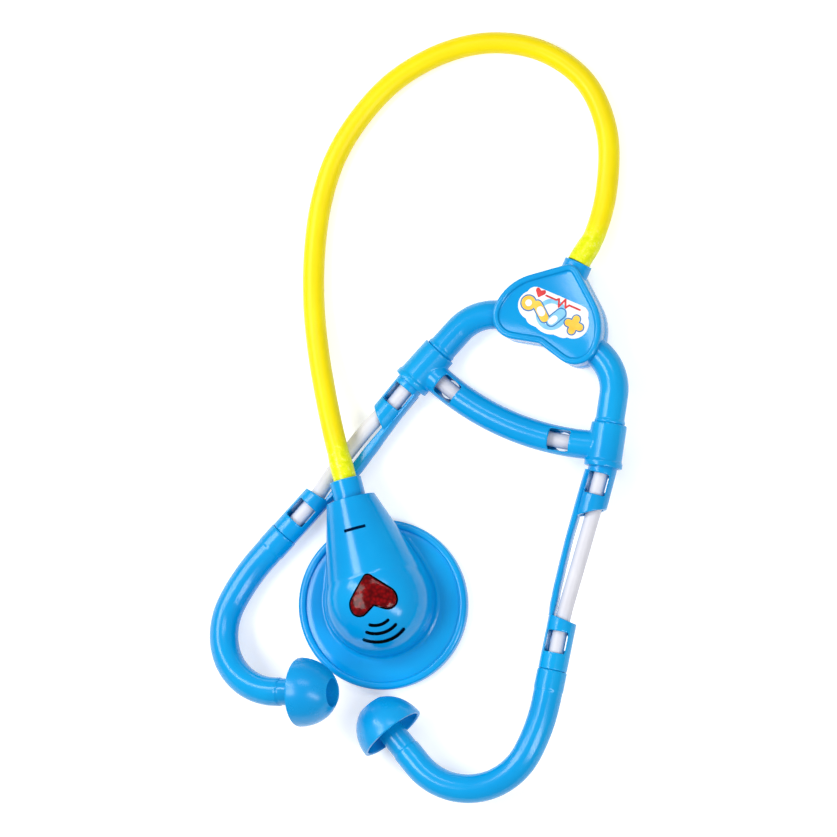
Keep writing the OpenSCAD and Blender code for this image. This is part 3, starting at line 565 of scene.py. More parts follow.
# Hose: one smooth line from the yoke's collar to the chest piece's collar
HOSE_R = 4.3
HOSE_ROUTE = [
    (19.5, 170, 8), (16, 188.5, 5.5), (6.9, 209, 4.5), (-8.7, 223.8, 4.5), (-29, 228.6, 4.5),
    (-49, 224.3, 4.5), (-66, 213, 4.5), (-79.5, 196, 4.5), (-87, 177, 4.5), (-90, 157, 4.5),
    (-88, 137.5, 4.5), (-82.5, 118.5, 4.5), (-74.5, 100, 5.5), (-64.5, 83, 8.5), (-53.5, 67.5, 13),
    (-43, 54, 17.4),
]
NECK_REACH = 43
NECK_AXIS_H = 18.6
CHEST_COLLAR_L = 8
YOKE_COLLAR_L = 2
YOKE_L = 36.4
HOSE_STEPS = 12
HOSE_SIDES = 32
BULGE_L = 11
BULGE = 0.35
BULGE_FADE_L = 3.5
CLEAR_L = 20
CLEAR_FADE_L = 11
HOSE_BORE_SHARE = 0.72
RING_START = Vector((0.03, 0, 1))


def smooth_line(knots, steps):
    """Closely spaced points of a smooth curve; the first and last knots only steer it"""
    line = []
    for a, b, c, d in zip(knots, knots[1:], knots[2:], knots[3:]):
        for k in range(steps):
            t = k / steps
            line.append(b + t / 2 * (c - a + t * (2 * a - 5 * b + 4 * c - d + t * (3 * (b - c) + d - a))))
    return line + [knots[-2]]


def way_out(place):
    return (place.to_3x3() @ Vector((0, 1, 0))).normalized()


def hose_line():
    """The hose's middle, in millimetres"""
    yoke_mouth = YOKE @ Vector((0, YOKE_L + YOKE_COLLAR_L, 0))
    yoke_way = way_out(YOKE)
    chest_mouth = CHEST @ Vector((0, NECK_REACH + CHEST_COLLAR_L, NECK_AXIS_H))
    chest_way = way_out(CHEST)
    route = [Vector(p) for p in HOSE_ROUTE]
    before = yoke_mouth - yoke_way * (route[0] - yoke_mouth).length
    after = chest_mouth - chest_way * (route[-1] - chest_mouth).length
    return smooth_line([before, yoke_mouth] + route + [chest_mouth, after], HOSE_STEPS)


def eased(share):
    """From 0 to 1 without a kink at either end"""
    share = max(0.0, min(1.0, share))
    return share * share * (3 - 2 * share)


def line_length(line):
    return sum((b - a).length for a, b in zip(line, line[1:]))


def round_skin(bm, line, sides, radius_at, mark=None, mark_at=None):
    """Rings around a line, bridged one to the next; mark is a value that the material reads"""
    total = line_length(line)
    ring = None
    along = 0.0
    side = RING_START
    for i, point in enumerate(line):
        way = (line[min(i + 1, len(line) - 1)] - line[max(i - 1, 0)]).normalized()
        side = (side - way * side.dot(way)).normalized()
        if i:
            along += (point - line[i - 1]).length
        from_end = min(along, total - along)
        place = Matrix((way.cross(side), side, way)).transposed().to_4x4()
        place.translation = point
        circle = bmesh.ops.create_circle(bm, cap_ends=False, segments=sides, radius=radius_at(from_end),
                                         matrix=place)["verts"]
        if mark:
            for v in circle:
                v[mark] = mark_at(from_end)
        edges = {e for v in circle for e in v.link_edges}
        if ring:
            bmesh.ops.bridge_loops(bm, edges=list(ring | edges))
        ring = edges


def make_hose():
    """A skin around the line that swells over the barbs, with an end wall and the mouth of its bore"""
    line = hose_line()
    total = line_length(line)
    bm = bmesh.new()
    over_barb = bm.verts.layers.float.new(HOSE_END)
    round_skin(bm, line, HOSE_SIDES,
               lambda from_end: HOSE_R + BULGE * eased((BULGE_L - from_end) / BULGE_FADE_L),
               over_barb, lambda from_end: eased((CLEAR_L - from_end) / CLEAR_FADE_L))
    for loop_end in (line[0], line[-1]):
        rim = [e for e in bm.edges if e.is_boundary and (e.verts[0].co - loop_end).length < 2 * HOSE_R]
        made = bmesh.ops.extrude_edge_only(bm, edges=rim)["geom"]
        for v in verts_among(made):
            v.co = loop_end + (v.co - loop_end) * HOSE_BORE_SHARE
            v[over_barb] = 1.0
    bmesh.ops.holes_fill(bm, edges=[e for e in bm.edges if e.is_boundary], sides=0)
    bmesh.ops.recalc_face_normals(bm, faces=bm.faces)
    piece = finish_piece("sound_hose", bm, NO_TURN, "frame", MATERIALS["hose"], ["sound_tube"],
                         sharp=60)
    line[0] * MM
    [p * MM for p in line]


# Chest piece
ROUND_STEPS = 96
DISC_R = 34
RIM_H = 6
RIM_W = 3
DISH_H = 4.8
BASE_T = 2.4
DISH_STEPS = 144
# Inwards from the edge of the disc, and height
DISH_SECTION = [
    (13.5, BASE_T), (1.9, BASE_T), (1.9, 0.4), (0, 0.4), (0, RIM_H - 1.1), (0.32, RIM_H - 0.32),
    (1.1, RIM_H), (RIM_W - 0.8, RIM_H), (RIM_W - 0.3, RIM_H - 0.18), (RIM_W - 0.02, RIM_H - 0.6),
    (RIM_W + 0.04, DISH_H - 0.12), (RIM_W + 0.3, DISH_H - 0.16), (RIM_W + 0.7, DISH_H),
    (6, DISH_H + 0.02), (13.5, DISH_H + 0.05),
]
BULB_R = 22.3
BULB_X = -0.3
BULB_Y = 1.4
DOME_H = 30
BULB_POWER = 2.3
BULB_STEPS = 28
BULB_FOOT_H = 1.0
FLANK_ANGLE = 21.9
FLANK_SUNK = 1
NECK_R = 9.8
NECK_OVER_L = 6
WEB_SIZE = (12.5, 16, 12)
WEB_AT = (0, 23.2, 9.5)
SLAB_R = 30.5
SLAB_T = 3.5
SLAB_SUNK = 0.06
SLAB_STEPS = 128
SKIRT_L = 1.2
DOME_VOXEL = 0.5
FOOT_BELOW, FOOT_ABOVE, FOOT_ROUNDS = 0.6, 6.5, 20
CREASE_ABOVE, NECK_END_L, CREASE_ROUNDS = 1.5, 2.2, 10
WALL = 1.6
LENS_CORNERS = [(0, 1.05), (1, 0.4), (1, -0.167), (0, 0.207)]
LENS_RADII = [0.08, 0.27, 0.184, 0.04]
LENS_W = 18.5
LENS_L = 15
LENS_Y = -4
LENS_GAP = 0.7
SLOTS = [(7.6, 29.6), (10.8, 33.7), (14.0, 36.0)]
SLOT_W = 1.3
SLOT_CENTRE_Y = -1.7
SLOT_STEPS = 18
SLOT_END_STEPS = 6
SLOT_CUT = (12, 34)
NECK_SLOT_L = 8.8
NECK_SLOT_FROM, NECK_SLOT_TO = 29.8, 31.0
NECK_SLOT_CUT = (20, 40)
LENS_CUT = (15, 40)
LENS_CUT_STEPS = 6
LENS_STEPS = 8
LENS_BLOCK = (24.2, 29)
LENS_TOP_FROM = 28
LENS_SIDE_FROM = 26
LENS_PROUD = 0.75
LENS_BORDER = 1.1
LENS_ROUNDING = 0.45
LENS_EDGE_BEND = 60


def bulb_height(radius):
    """Height of the bulb's surface at a distance from its axis"""
    share = max(0.0, 1 - (min(radius, BULB_R) / BULB_R) ** BULB_POWER)
    return DISH_H + (DOME_H - DISH_H) * share ** (1 / BULB_POWER)


def make_dish():
    """Flat ring inside a raised rim, with a small groove where the two meet"""
    bm = revolve([(DISC_R - inwards, height) for inwards, height in DISH_SECTION], DISH_STEPS, closed=True)
    finish_piece("chest_dish", bm, CHEST, "frame", MATERIALS["blue"], ["chest_top_shell"], sharp=50)


def smoothed(bm, verts, rounds):
    """Moves each vertex halfway to the middle of its neighbours, some times over"""
    for _ in range(rounds):
        bmesh.ops.smooth_vert(bm, verts=verts, factor=0.5, use_axis_x=True, use_axis_y=True, use_axis_z=True)


def smooth_junction(bm):
    """Softens the crease where the dome rises from the dish, and the crease between bulb and neck"""
    foot = [v for v in bm.verts if DISH_H - FOOT_BELOW < v.co.z < DISH_H + FOOT_ABOVE]
    smoothed(bm, foot, FOOT_ROUNDS)
    crease = [v for v in bm.verts if v.co.z >= DISH_H + CREASE_ABOVE and v.co.y < NECK_REACH - NECK_END_L]
    smoothed(bm, crease, CREASE_ROUNDS)


def dome_block():
    """Bulb, neck, the web under the neck and a slab inside the dish, still as separate shapes"""
    profile = [(0.0, DOME_H)]
    for k in range(1, BULB_STEPS + 1):
        t = pi / 2 * (1 - k / BULB_STEPS)
        profile.append((BULB_R * cos(t) ** (2 / BULB_POWER),
                        DISH_H + (DOME_H - DISH_H) * sin(t) ** (2 / BULB_POWER)))
    profile += [(BULB_R, BULB_FOOT_H), (0.0, BULB_FOOT_H)]
    bm = revolve(profile, ROUND_STEPS)
    bm.transform(moved(BULB_X, BULB_Y))
    flank_y = BULB_Y + BULB_R * sin(radians(FLANK_ANGLE))
    flank_r = BULB_R * cos(radians(FLANK_ANGLE))
    flank_h = DOME_H - flank_r - FLANK_SUNK
    rise = atan2(NECK_AXIS_H - flank_h, NECK_REACH - flank_y)
    length = hypot(NECK_AXIS_H - flank_h, NECK_REACH - flank_y)
    taper = (flank_r - NECK_R) / length
    neck = bmesh.ops.create_cone(bm, cap_ends=True, segments=ROUND_STEPS, radius1=flank_r,
                                 radius2=NECK_R - NECK_OVER_L * taper, depth=length + NECK_OVER_L)["verts"]
    place = (moved(0, flank_y, flank_h) @ Matrix.Rotation(rise - pi / 2, 4, "X")
             @ Matrix.Translation((0, 0, (length + NECK_OVER_L) / 2)))
    bmesh.ops.transform(bm, verts=neck, matrix=place)
    slab = bmesh.ops.create_cone(bm, cap_ends=True, segments=SLAB_STEPS, radius1=SLAB_R, radius2=SLAB_R,
                                 depth=SLAB_T)["verts"]
    bmesh.ops.translate(bm, verts=slab, vec=(0, 0, DISH_H - SLAB_SUNK - SLAB_T / 2))
    web = bmesh.ops.create_cube(bm, size=1)["verts"]
    bmesh.ops.scale(bm, verts=web, vec=WEB_SIZE)
    bmesh.ops.translate(bm, verts=web, vec=WEB_AT)
    return bm


def make_dome():
    """The block blended into one skin that rises from the dish, with a wall and its openings"""
    piece = finish_piece("chest_dome", dome_block(), NO_TURN, "frame", MATERIALS["blue"])
    skin = piece.modifiers.new("one skin", "REMESH")
    skin.mode = "VOXEL"
    skin.voxel_size = DOME_VOXEL * MM
    settle(piece)
    bm = bmesh.new()
    bm.from_mesh(piece.data)
    bpy.data.objects.remove(piece)
    bm.transform(TO_MILLIMETRES)
    cut_off(bm, (0, NECK_REACH, 0), (0, 1, 0))
    smooth_junction(bm)
    cut_off(bm, (0, 0, DISH_H - SKIRT_L), (0, 0, -1))
    piece = finish_piece("chest_dome", bm, NO_TURN, "frame", MATERIALS["blue"], ["chest_top_shell"])
    wall = piece.modifiers.new("wall", "SOLIDIFY")
    wall.thickness = WALL * MM
    wall.offset = -1
    settle(piece)
    outline = heart(LENS_W, LENS_L, LENS_CORNERS, LENS_RADII, LENS_CUT_STEPS)
    carve(piece, prism([(x, y + LENS_Y) for x, y in shrunk(outline, -LENS_GAP)], *LENS_CUT))
    for radius, half_angle in SLOTS:
        carve(piece, slot_cutter(radius, half_angle))
    half = NECK_SLOT_L / 2
    corners = [(-half, NECK_SLOT_FROM), (half, NECK_SLOT_FROM), (half, NECK_SLOT_TO), (-half, NECK_SLOT_TO)]
    carve(piece, prism(corners, *NECK_SLOT_CUT))
    drop_slivers(piece)
    piece.data.transform(in_metres(CHEST))


def arc_points(x, y, r, start, sweep, steps):
    """Points of an arc around (x, y), with its angles in radians"""
    angles = [start + sweep * k / steps for k in range(steps + 1)]
    return [(x + r * cos(a), y + r * sin(a)) for a in angles]


def slot_cutter(radius, half_angle):
    """A curved slot with round ends, cut from above"""
    start, end = radians(-90 - half_angle), radians(-90 + half_angle)
    half = SLOT_W / 2

    def side_arc(r, first, last):
        return arc_points(0, SLOT_CENTRE_Y, r, first, last - first, SLOT_STEPS)

    def round_end(angle, first):
        x, y = radius * cos(angle), SLOT_CENTRE_Y + radius * sin(angle)
        return arc_points(x, y, half, first, pi, SLOT_END_STEPS)[1:-1]

    points = (side_arc(radius + half, start, end) + round_end(end, end)
              + side_arc(radius - half, end, start) + round_end(start, start + pi))
    return prism(points, *SLOT_CUT)


def make_lens():
    """Clear red heart: it follows the dome and stands a little proud of it"""
    outline = heart(LENS_W, LENS_L, LENS_CORNERS, LENS_RADII, LENS_STEPS)
    bm = prism([(x, y + LENS_Y) for x, y in outline], *LENS_BLOCK)
    bmesh.ops.inset_region(bm, faces=[top_face(bm)], thickness=LENS_BORDER, use_even_offset=True)
    bmesh.ops.triangulate(bm, faces=[top_face(bm)])
    inner = [f for f in faces_up(bm) if f.calc_center_median().z > LENS_TOP_FROM]
    edges = {e for f in inner for e in f.edges}
    bmesh.ops.subdivide_edges(bm, edges=list(edges), cuts=2, use_grid_fill=True)
    for v in bm.verts:
        if v.co.z > LENS_TOP_FROM:
            v.co.z = bulb_height(hypot(v.co.x, v.co.y - BULB_Y)) + LENS_PROUD
    rim = [e for e in bm.edges if e.calc_face_angle(0) > radians(LENS_EDGE_BEND)
           and (e.verts[0].co.z + e.verts[1].co.z) / 2 > LENS_SIDE_FROM]
    rounded_edges(bm, rim, LENS_ROUNDING)
    finish_piece("heart_lens", bm, CHEST, "heart", MATERIALS["heart"], ["heart_button"], sharp=40)


# Yoke
YOKE_CORNERS = [(0, 1.033), (1, 0.541), (1, -0.086), (0, 0.066)]
YOKE_RADII = [0.11, 0.472, 0.209, 0.088]
YOKE_W = 45.5
FRONT_H = 8
PANEL_DEPTH = 1.2
PANEL_SLOPE_W = 0.35
YOKE_RIM = 2.3
YOKE_STEPS = 8
SEAM_Z = 0.08
YOKE_EDGE_R = 1.1
PANEL_EDGE_R = 0.5
PANEL_FLOOR_R = 0.3
SEAM_R = 0.2
# Of half the yoke's width and of its length
SCREW_HOLE_SHARES = [(0.36, 0.36), (-0.36, 0.36), (0, 0.66)]
SCREW_HOLE_R = 2.26
SCREW_HOLE_STEPS = 40
SCREW_HOLE_CUT = 4


def yoke_outline():
    return heart(YOKE_W, YOKE_L, YOKE_CORNERS, YOKE_RADII, YOKE_STEPS)


def make_yoke():
    """Front shell with its sunk panel, and rear shell with screw holes; both have rounded edges"""
    bm = prism(yoke_outline(), SEAM_Z, FRONT_H)
    bmesh.ops.inset_region(bm, faces=[top_face(bm)], thickness=YOKE_RIM, use_even_offset=True)
    panel = max(faces_up(bm), key=lambda f: len(f.verts))
    bmesh.ops.inset_region(bm, faces=[panel], thickness=PANEL_SLOPE_W, depth=-PANEL_DEPTH,
                           use_even_offset=True)
    rim = level_edges(bm, FRONT_H, SLOPE_BEND)
    outer = [e for e in rim if any(abs(f.normal.z) < FACES_SIDEWAYS for f in e.link_faces)]
    inner = [e for e in rim if e not in outer]
    rounded_edges(bm, outer, YOKE_EDGE_R, 5)
    rounded_edges(bm, [e for e in inner if e.is_valid], PANEL_EDGE_R)
    rounded_edges(bm, level_edges(bm, FRONT_H - PANEL_DEPTH, SLOPE_BEND), PANEL_FLOOR_R, 2)
    rounded_edges(bm, level_edges(bm, SEAM_Z), SEAM_R, 2)
    finish_piece("yoke_front", bm, YOKE, "frame", MATERIALS["blue"], ["yoke_front_shell"], sharp=40)

    bm = prism(yoke_outline(), -FRONT_H, -SEAM_Z)
    rounded_edges(bm, level_edges(bm, -FRONT_H, CORNER_BEND), YOKE_EDGE_R, 5)
    rounded_edges(bm, level_edges(bm, -SEAM_Z, CORNER_BEND), SEAM_R, 2)
    rear = finish_piece("yoke_rear", bm, NO_TURN, "frame", MATERIALS["blue"], ["yoke_rear_shell"],
                        sharp=40)
    for x, y in SCREW_HOLE_SHARES:
        hole = bmesh.new()
        bmesh.ops.create_cone(hole, cap_ends=True, segments=SCREW_HOLE_STEPS, radius1=SCREW_HOLE_R,
                              radius2=SCREW_HOLE_R, depth=SCREW_HOLE_CUT)
        hole.transform(moved(x * YOKE_W / 2, y * YOKE_L, -FRONT_H))
        carve(rear, hole)
    rear.data.transform(in_metres(YOKE))


# Label: a sticker of a generic design, seen upright by the wearer
def oval(width, length, steps=40):
    return [(width / 2 * cos(2 * pi * k / steps), length / 2 * sin(2 * pi * k / steps)) for k in range(steps)]


def bar(length, width, steps=10):
    """A bar along X with round ends"""
    half = (length - width) / 2
    right = [(half + width / 2 * cos(pi * (k / steps - 0.5)), width / 2 * sin(pi * (k / steps - 0.5)))
             for k in range(steps + 1)]
    return right + [(-x, -y) for x, y in right]


def set_down(outline, x, y, angle):
    """The outline turned by the angle in degrees and moved to (x, y)"""
    place = moved(x, y) @ turned("Z", angle)
    return [tuple((place @ Vector((u, v, 0)))[:2]) for u, v in outline]


LABEL_AT = (0.6, 15.6)
LABEL_PLACE = YOKE @ moved(*LABEL_AT, FRONT_H - PANEL_DEPTH) @ turned("Z", 180)
LABEL_T = 0.2
PRINT_T = 0.03
SAME_LEVEL_STEP = 0.1
# Places of the motifs on the label: x, y and mostly the turn
DISC = (0.6, 0.7, 0)
PLUS = (-9.6, 1)
CAPSULE = (-1.7, 1, 62)
CAPSULE_END = (-0.9, 2.5, 62)
PLASTER = (5, 1.2, -38)
RING = (11, 0, 0)
PULSE_HEART = (8.3, -7.2, 0)
BACKING = [
    (oval(12.4, 12.4), -9.2, 0.4, 0), (oval(17, 16), 0.4, 0.6, 0), (oval(12.6, 12), 8.8, 0.2, 0),
    (bar(27, 7.4), -0.2, -3.6, 0), (bar(20, 7), 0, 4.2, 0),
]
BEAT = [(-9.4, -5.4), (-4.6, -5.4), (-3.6, -3.9), (-2.3, -7), (-0.9, -3.2), (0.2, -6.2),
        (1.1, -5.4), (5.6, -5.4)]
BEAT_W = 0.75


def label_layer(name, material, shapes, level):
    """Flat shapes of one colour; each lies a hair above the one before it, and each level above the last"""
    bm = bmesh.new()
    low = LABEL_T + PRINT_T * (level - 1) if level else 0
    for k, (outline, x, y, angle) in enumerate(shapes):
        high = LABEL_T + PRINT_T * level + SAME_LEVEL_STEP * PRINT_T * k
        part = prism(set_down(outline, x, y, angle), low, high)
        mesh = bpy.data.meshes.new("part")
        part.to_mesh(mesh)
        part.free()
        bm.from_mesh(mesh)
        bpy.data.meshes.remove(mesh)
    finish_piece(name, bm, LABEL_PLACE, "frame", MATERIALS[material], ["yoke_label"], sharp=40)


def make_label():
    """A plus sign, a capsule, a plaster and a ring on a pale blue disc, with a heartbeat line below"""
    label_layer("label_backing", "label_white", BACKING, 0)
    label_layer("label_disc", "label_sky", [(oval(12.6, 12.6), *DISC)], 1)
    label_layer("label_disc_middle", "label_white", [(oval(8.8, 8.8), *DISC)], 2)
    label_layer("label_outlines", "label_blue", [
        (bar(8.9, 3.9), *PLUS, 0), (bar(8.9, 3.9), *PLUS, 90), (bar(9.6, 4.7), *CAPSULE),
        (bar(10.4, 4.5), *PLASTER), (oval(6.8, 6.8), *RING)], 3)
    label_layer("label_yellow_shapes", "label_yellow", [
        (bar(7.9, 2.9), *PLUS, 0), (bar(7.9, 2.9), *PLUS, 90), (bar(9.4, 3.5), *PLASTER)], 4)
    label_layer("label_capsule", "label_sky", [(bar(8.6, 3.7), *CAPSULE)], 4)
    label_layer("label_ring", "label_yellow", [(oval(5.8, 5.8), *RING)], 4)
    label_layer("label_ring_middle", "label_white", [
        (oval(2.7, 2.7), *RING), (bar(4.2, 2.9), *PLASTER), (bar(4.3, 2.6), *CAPSULE_END)], 5)
    strokes = []
    for a, b in zip(BEAT, BEAT[1:]):
        way = Vector(b) - Vector(a)
        stroke = bar(way.length + BEAT_W, BEAT_W, 4)
        strokes.append((stroke, (a[0] + b[0]) / 2, (a[1] + b[1]) / 2, degrees(atan2(way.y, way.x))))
    strokes.append((heart(4.2, 3.6, LENS_CORNERS, LENS_RADII, 5), *PULSE_HEART))
    label_layer("label_heartbeat", "label_red", strokes, 3)


# Ear tips
TIP_R = 13.8
TIP_H = 14.6
TIP_HOLE_R = 5.5
TIP_WALL = 1.5
STEM_R = 4.58
SLEEVE_R = 6.18
SLEEVE_FOOT_Z = 3.0
STEM_END_DEPTH = 6
TIP_STEPS = 22
# Rounded edges: how far each point lies from the corner, across and along
TIP_RIM_OUTSIDE = [(0.35, 0.0), (0.08, 0.12), (0, 0.5)]
TIP_RIM_INSIDE = [(0, 0.35), (0.2, 0.05), (0.5, 0.0)]
TIP_HOLE_EDGE = [(0.28, 0.05), (0.04, 0.25), (0, 0.7)]
TIP_HOLE_FLOOR = [(0, 0.4), (0.3, 0)]


def make_tip(side):
    """Hollow dome with a rounded rim, a round hole at its pole and a sleeve for the stem inside"""
    pole = acos(TIP_HOLE_R / TIP_R)
    full_h = TIP_H / sin(pole)
    inner_r, inner_h = TIP_R - TIP_WALL, full_h - TIP_WALL
    sleeve = acos(SLEEVE_R / inner_r)
    steps = TIP_STEPS
    profile = [(TIP_R - dx, dz) for dx, dz in TIP_RIM_OUTSIDE]
    profile += [(TIP_R * cos(pole * k / steps), full_h * sin(pole * k / steps)) for k in range(1, steps)]
    profile += [(TIP_HOLE_R + dx, TIP_H - dz) for dx, dz in TIP_HOLE_EDGE]
    profile += [(TIP_HOLE_R - dx, TIP_H - STEM_END_DEPTH + dz) for dx, dz in TIP_HOLE_FLOOR]
    profile += [(STEM_R, TIP_H - STEM_END_DEPTH), (STEM_R, SLEEVE_FOOT_Z), (SLEEVE_R, SLEEVE_FOOT_Z)]
    profile += [(inner_r * cos(sleeve * k / steps), inner_h * sin(sleeve * k / steps))
                for k in range(steps, 0, -1)]
    profile += [(inner_r + dx, dz) for dx, dz in TIP_RIM_INSIDE]
    bm = revolve(profile, ROUND_STEPS, closed=True)
    finish_piece(SIDES[side] + "_tip_dome", bm, tip_place(side) @ turned("X", -90), SIDES[side] + "_tip",
                 MATERIALS["ear_tip"], [SIDES[side] + "_ear_tip"], sharp=50)


# Springy strips of the arms: the link's inner wall runs on as a strip, bowed away from the rod, to the socket
TUBE_R = 5.8
STRIP_DEPTH = 7.2
STRIP_FROM = -16.5
STRIP_STEP = 1.3
STRIP_BEND_FROM = 3
STRIP_BEND_L = 12
STRIP_SUNK = 0.07
STRIP_ARC_STEPS = 10
STRIP_INNER_EDGE = [(0.6, 0), (0.2, 0.2), (0, 0.6)]
# For each side, from the link down: distance, how far the outside stands out, and x of the inner face
STRIP_SHAPE = (
    [(-17, 0, -4.7), (-8, 0.2, -4.7), (-4, 0.4, -4.6), (2, 0.7, -3), (12, 1.3, -2.8), (21, 1.7, -3),
     (30, 1.5, -3.2), (36, 0.6, -3.4), (39, 0, -3.6)],
    [(-17, 1.1, -4.7), (-8, 1.4, -4.7), (-4, 1.5, -4.7), (2, 1.55, -4.4), (12, 1.65, -4.65), (21, 1.5, -4.45),
     (30, 1.3, -4.15), (38, 0.9, -3.7), (43.3, 0.2, -3.6)],
)


def strip_faces_at(side, y):
    """How far the strip stands out of the tube's line, and where its inner face lies"""
    shape = STRIP_SHAPE[side]
    for (y0, out0, in0), (y1, out1, in1) in zip(shape, shape[1:]):
        if y <= y1:
            share = eased((y - y0) / (y1 - y0))
            return out0 + (out1 - out0) * share, in0 + (in1 - in0) * share
    return shape[-1][1:]


def strip_section(side, y):
    """Outline of the strip's section: an arc of the tube's outside, flat sides and a flat inner face"""
    out, inner_x = strip_faces_at(side, y)
    half_angle = asin(STRIP_DEPTH / 2 / TUBE_R)
    r = TUBE_R - STRIP_SUNK
    angles = [half_angle * (2 * k / STRIP_ARC_STEPS - 1) for k in range(STRIP_ARC_STEPS + 1)]
    arc = [(-out - r * cos(a), r * sin(a)) for a in angles]
    corner = [(inner_x - dx, STRIP_DEPTH / 2 - dz) for dx, dz in STRIP_INNER_EDGE]
    return arc + corner + [(x, -z) for x, z in reversed(corner)]


def make_strip(side):
    """Sections bridged one to the next; the piece rides on no body"""
    length = STRIP_SHAPE[side][-1][0] - STRIP_FROM
    count = round(length / STRIP_STEP)
    bm = bmesh.new()
    ring = None
    for k in range(count + 1):
        y = STRIP_FROM + length * k / count
        verts = [bm.verts.new((x, y, z)) for x, z in strip_section(side, y)]
        edges = [bm.edges.new(pair) for pair in zip(verts, verts[1:] + verts[:1])]
        if ring:
            bmesh.ops.bridge_loops(bm, edges=ring + edges)
        ring = edges
    bmesh.ops.holes_fill(bm, edges=bm.edges, sides=0)
    bmesh.ops.recalc_face_normals(bm, faces=bm.faces)
    name = SIDES[side] + "_arm_strip"
    piece = finish_piece(name + "_bent", bm, strip_place(side), None, MATERIALS["blue"], [name],
                         sharp=40)
    start = strip_place(side) @ Vector((-TUBE_R, STRIP_BEND_FROM, 0))
    end = strip_place(side) @ Vector((-TUBE_R, STRIP_BEND_FROM + STRIP_BEND_L, 0))
    tuple(start * MM)
    tuple(end * MM)
    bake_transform(piece)


# Left arm's rod: it springs outwards between the link and the ear socket
ROD_R = 3
ROD_SIDES = 40
# Outwards and along, from above the link's end down to the socket
ROD_KNOTS = [(0.4, -8), (1.1, -3.5), (1.6, 0), (2.05, 6), (2.1, 13), (2.0, 20), (1.7, 27),
             (1.3, 33), (0.75, 38.3), (0.4, 43), (0.52, 48), (0.84, 53.4), (1.1, 58)]
ROD_STEPS = 5


def make_bowed_rod():
    """Round rod along a smooth line through the knots, closed at both ends"""
    place = strip_place(LEFT)
    line = smooth_line([place @ Vector((x, y, 0)) for x, y in ROD_KNOTS], ROD_STEPS)
    bm = bmesh.new()
    round_skin(bm, line, ROD_SIDES, lambda from_end: ROD_R)
    bmesh.ops.holes_fill(bm, edges=bm.edges, sides=0)
    bmesh.ops.recalc_face_normals(bm, faces=bm.faces)
    finish_piece("left_arm_rod_bowed", bm, NO_TURN, "left_lower_arm", MATERIALS["white_rod"],
                 ["left_arm_rod"], sharp=50)


# Moulded tubes, frame and collars: the CAD solids with soft edges
BODY_OF = {node: body for body, nodes in frame["record"]["behaviour"]["bodies"].items() for node in nodes}
BARB_KEPT_L = 6.5
# Solid, voxel size in millimetres and rounds of smoothing
MOULDED = [("crossbar_frame", 0.36, 5), ("yoke_connector", 0.25, 4), ("chest_connector", 0.25, 4)]
MOULDED_PAIRS = [("_arm_link", 0.27, 5), ("_ear_socket", 0.27, 5), ("_upper_arm", 0.36, 4),
                 ("_ear_tube", 0.36, 4)]


def soften(name, voxel, rounds):
    """A copy of a CAD solid whose rims and window corners are rounded as in a mould"""
    bm = solid_copy(name)
    if name == "yoke_connector":
        past_collar = YOKE @ Vector((0, YOKE_L + YOKE_COLLAR_L + BARB_KEPT_L, 0))
        cut_off(bm, past_collar, YOKE.to_3x3() @ Vector((0, 1, 0)))
        bmesh.ops.bridge_loops(bm, edges=[e for e in bm.edges if e.is_boundary])
    piece = finish_piece(name + "_moulded", bm, NO_TURN, BODY_OF[name], MATERIALS["blue"], [name])
    skin = piece.modifiers.new("skin", "REMESH")
    skin.mode = "VOXEL"
    skin.voxel_size = voxel * MM
    even = piece.modifiers.new("soft edges", "SMOOTH")
    even.factor = 0.5
    even.iterations = rounds
    settle(piece)


def make_tubes():
    for row in MOULDED:
        soften(*row)
    for side in SIDES:
        for part, voxel, rounds in MOULDED_PAIRS:
            soften(side + part, voxel, rounds)


def make_return_dome():
    """A copy of the CAD solid in soft white, riding on the solid's own body"""
    name = "return_dome"
    piece = finish_piece("return_dome_rubber", solid_copy(name), NO_TURN, BODY_OF[name],
                         MATERIALS["soft_white"], [name])
    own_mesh(piece)


# CAD solids that keep their shape
def dress_solids():
    slots = {row["node"]: row["material_slot"] for row in frame["record"]["subparts"]}
    for name, node in frame["nodes"].items():
        node.data.materials.clear()
        node.data.materials.append(MATERIALS.get(slots[name], MATERIALS["blue"]))


# Studio, in metres and watts
TABLE_SIZE = 6
TABLE_TONES = [(0.9, 0.9, 0.9, 1), (0.93, 0.93, 0.93, 1)]
TABLE_ROUGHNESS = 0.7
TABLE_GLOW = 0.42
SKY_STRENGTH = 0.3
LAMPS_AIM = (-0.02, 0.07, 0.0)
# Name, place, size and power
LAMPS = [
    ("window_left", (-0.85, 0.1, 0.85), (0.25, 0.8), 5),
    ("window_front", (-0.64, -0.32, 1.25), (0.5, 0.45), 6.5),
    ("window_right", (0.75, -0.05, 0.95), (0.2, 0.8), 5),
    ("ceiling", (-0.2, 0.7, 1.25), (0.7, 0.25), 3),
]


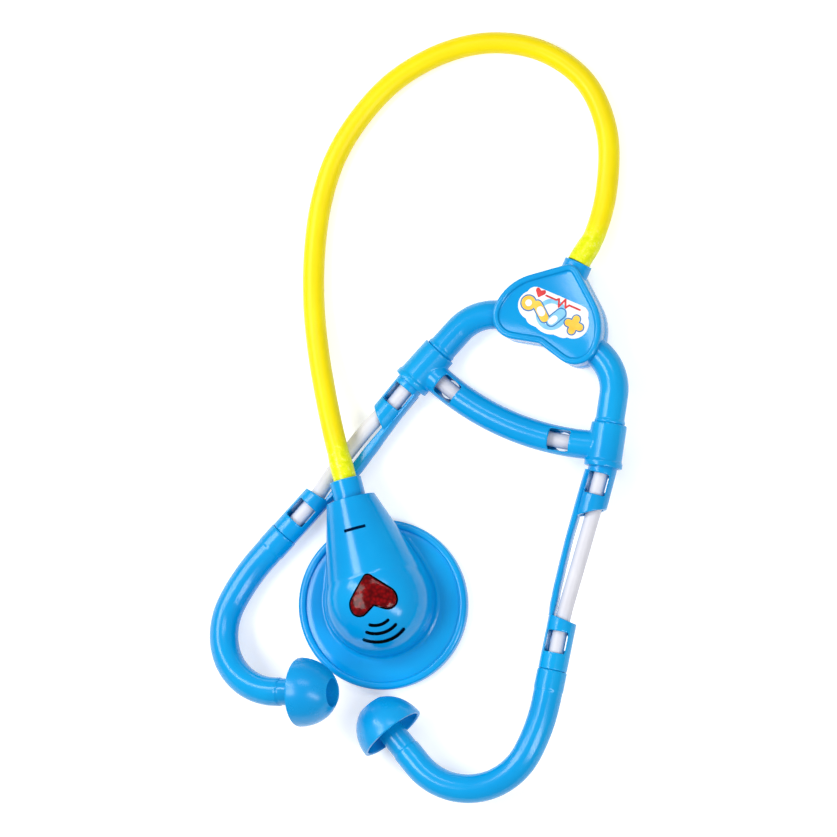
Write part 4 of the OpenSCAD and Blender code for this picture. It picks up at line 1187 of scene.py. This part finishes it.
def make_floor():
    """White table that looks brighter to the camera, also in reflections, than the light it gives"""
    look = Look("white_table")
    look.set("Base Color", look.mix(look.noise(6, 2), *TABLE_TONES))
    look.set("Roughness", TABLE_ROUGHNESS)
    path = look.tree.nodes.new("ShaderNodeLightPath")
    camera, glossy, through = [Wire(look, path.outputs[ray])
                               for ray in ("Is Camera Ray", "Is Glossy Ray", "Is Transmission Ray")]
    glow = look.tree.nodes.new("ShaderNodeEmission")
    glow.inputs["Color"].default_value = (1, 1, 1, 1)
    look.tree.links.new(((camera + glossy + through).clamped() * TABLE_GLOW).socket, glow.inputs["Strength"])
    both = look.tree.nodes.new("ShaderNodeAddShader")
    look.tree.links.new(look.shader.outputs[0], both.inputs[0])
    look.tree.links.new(glow.outputs[0], both.inputs[1])
    look.tree.links.new(both.outputs[0], look.out.inputs["Surface"])
    bm = bmesh.new()
    bmesh.ops.create_grid(bm, x_segments=2, y_segments=2, size=TABLE_SIZE)
    mesh = bpy.data.meshes.new("table")
    bm.to_mesh(mesh)
    bm.free()
    mesh.materials.append(look.material)
    placed("table", mesh)


def make_studio():
    """Even white surroundings and soft lamps"""
    world = bpy.data.worlds.new("studio")
    world.use_nodes = True
    world.node_tree.nodes["Background"].inputs["Color"].default_value = (1, 1, 1, 1)
    world.node_tree.nodes["Background"].inputs["Strength"].default_value = SKY_STRENGTH
    bpy.context.scene.world = world
    for name, place, size, power in LAMPS:
        data = bpy.data.lights.new(name, "AREA")
        data.shape = "RECTANGLE"
        data.size, data.size_y = size
        data.energy = power
        lamp = placed(name, data)
        lamp.location = place
        lamp.rotation_euler = (Vector(LAMPS_AIM) - Vector(place)).to_track_quat("-Z", "Y").to_euler()
    bpy.context.scene.view_settings.view_transform = "Standard"


make_camera()
make_hose()
make_dish()
make_dome()
make_lens()
make_yoke()
make_label()
for side in (LEFT, RIGHT):
    make_tip(side)
    make_strip(side)
make_bowed_rod()
make_tubes()
make_return_dome()
dress_solids()
make_floor()
make_studio()
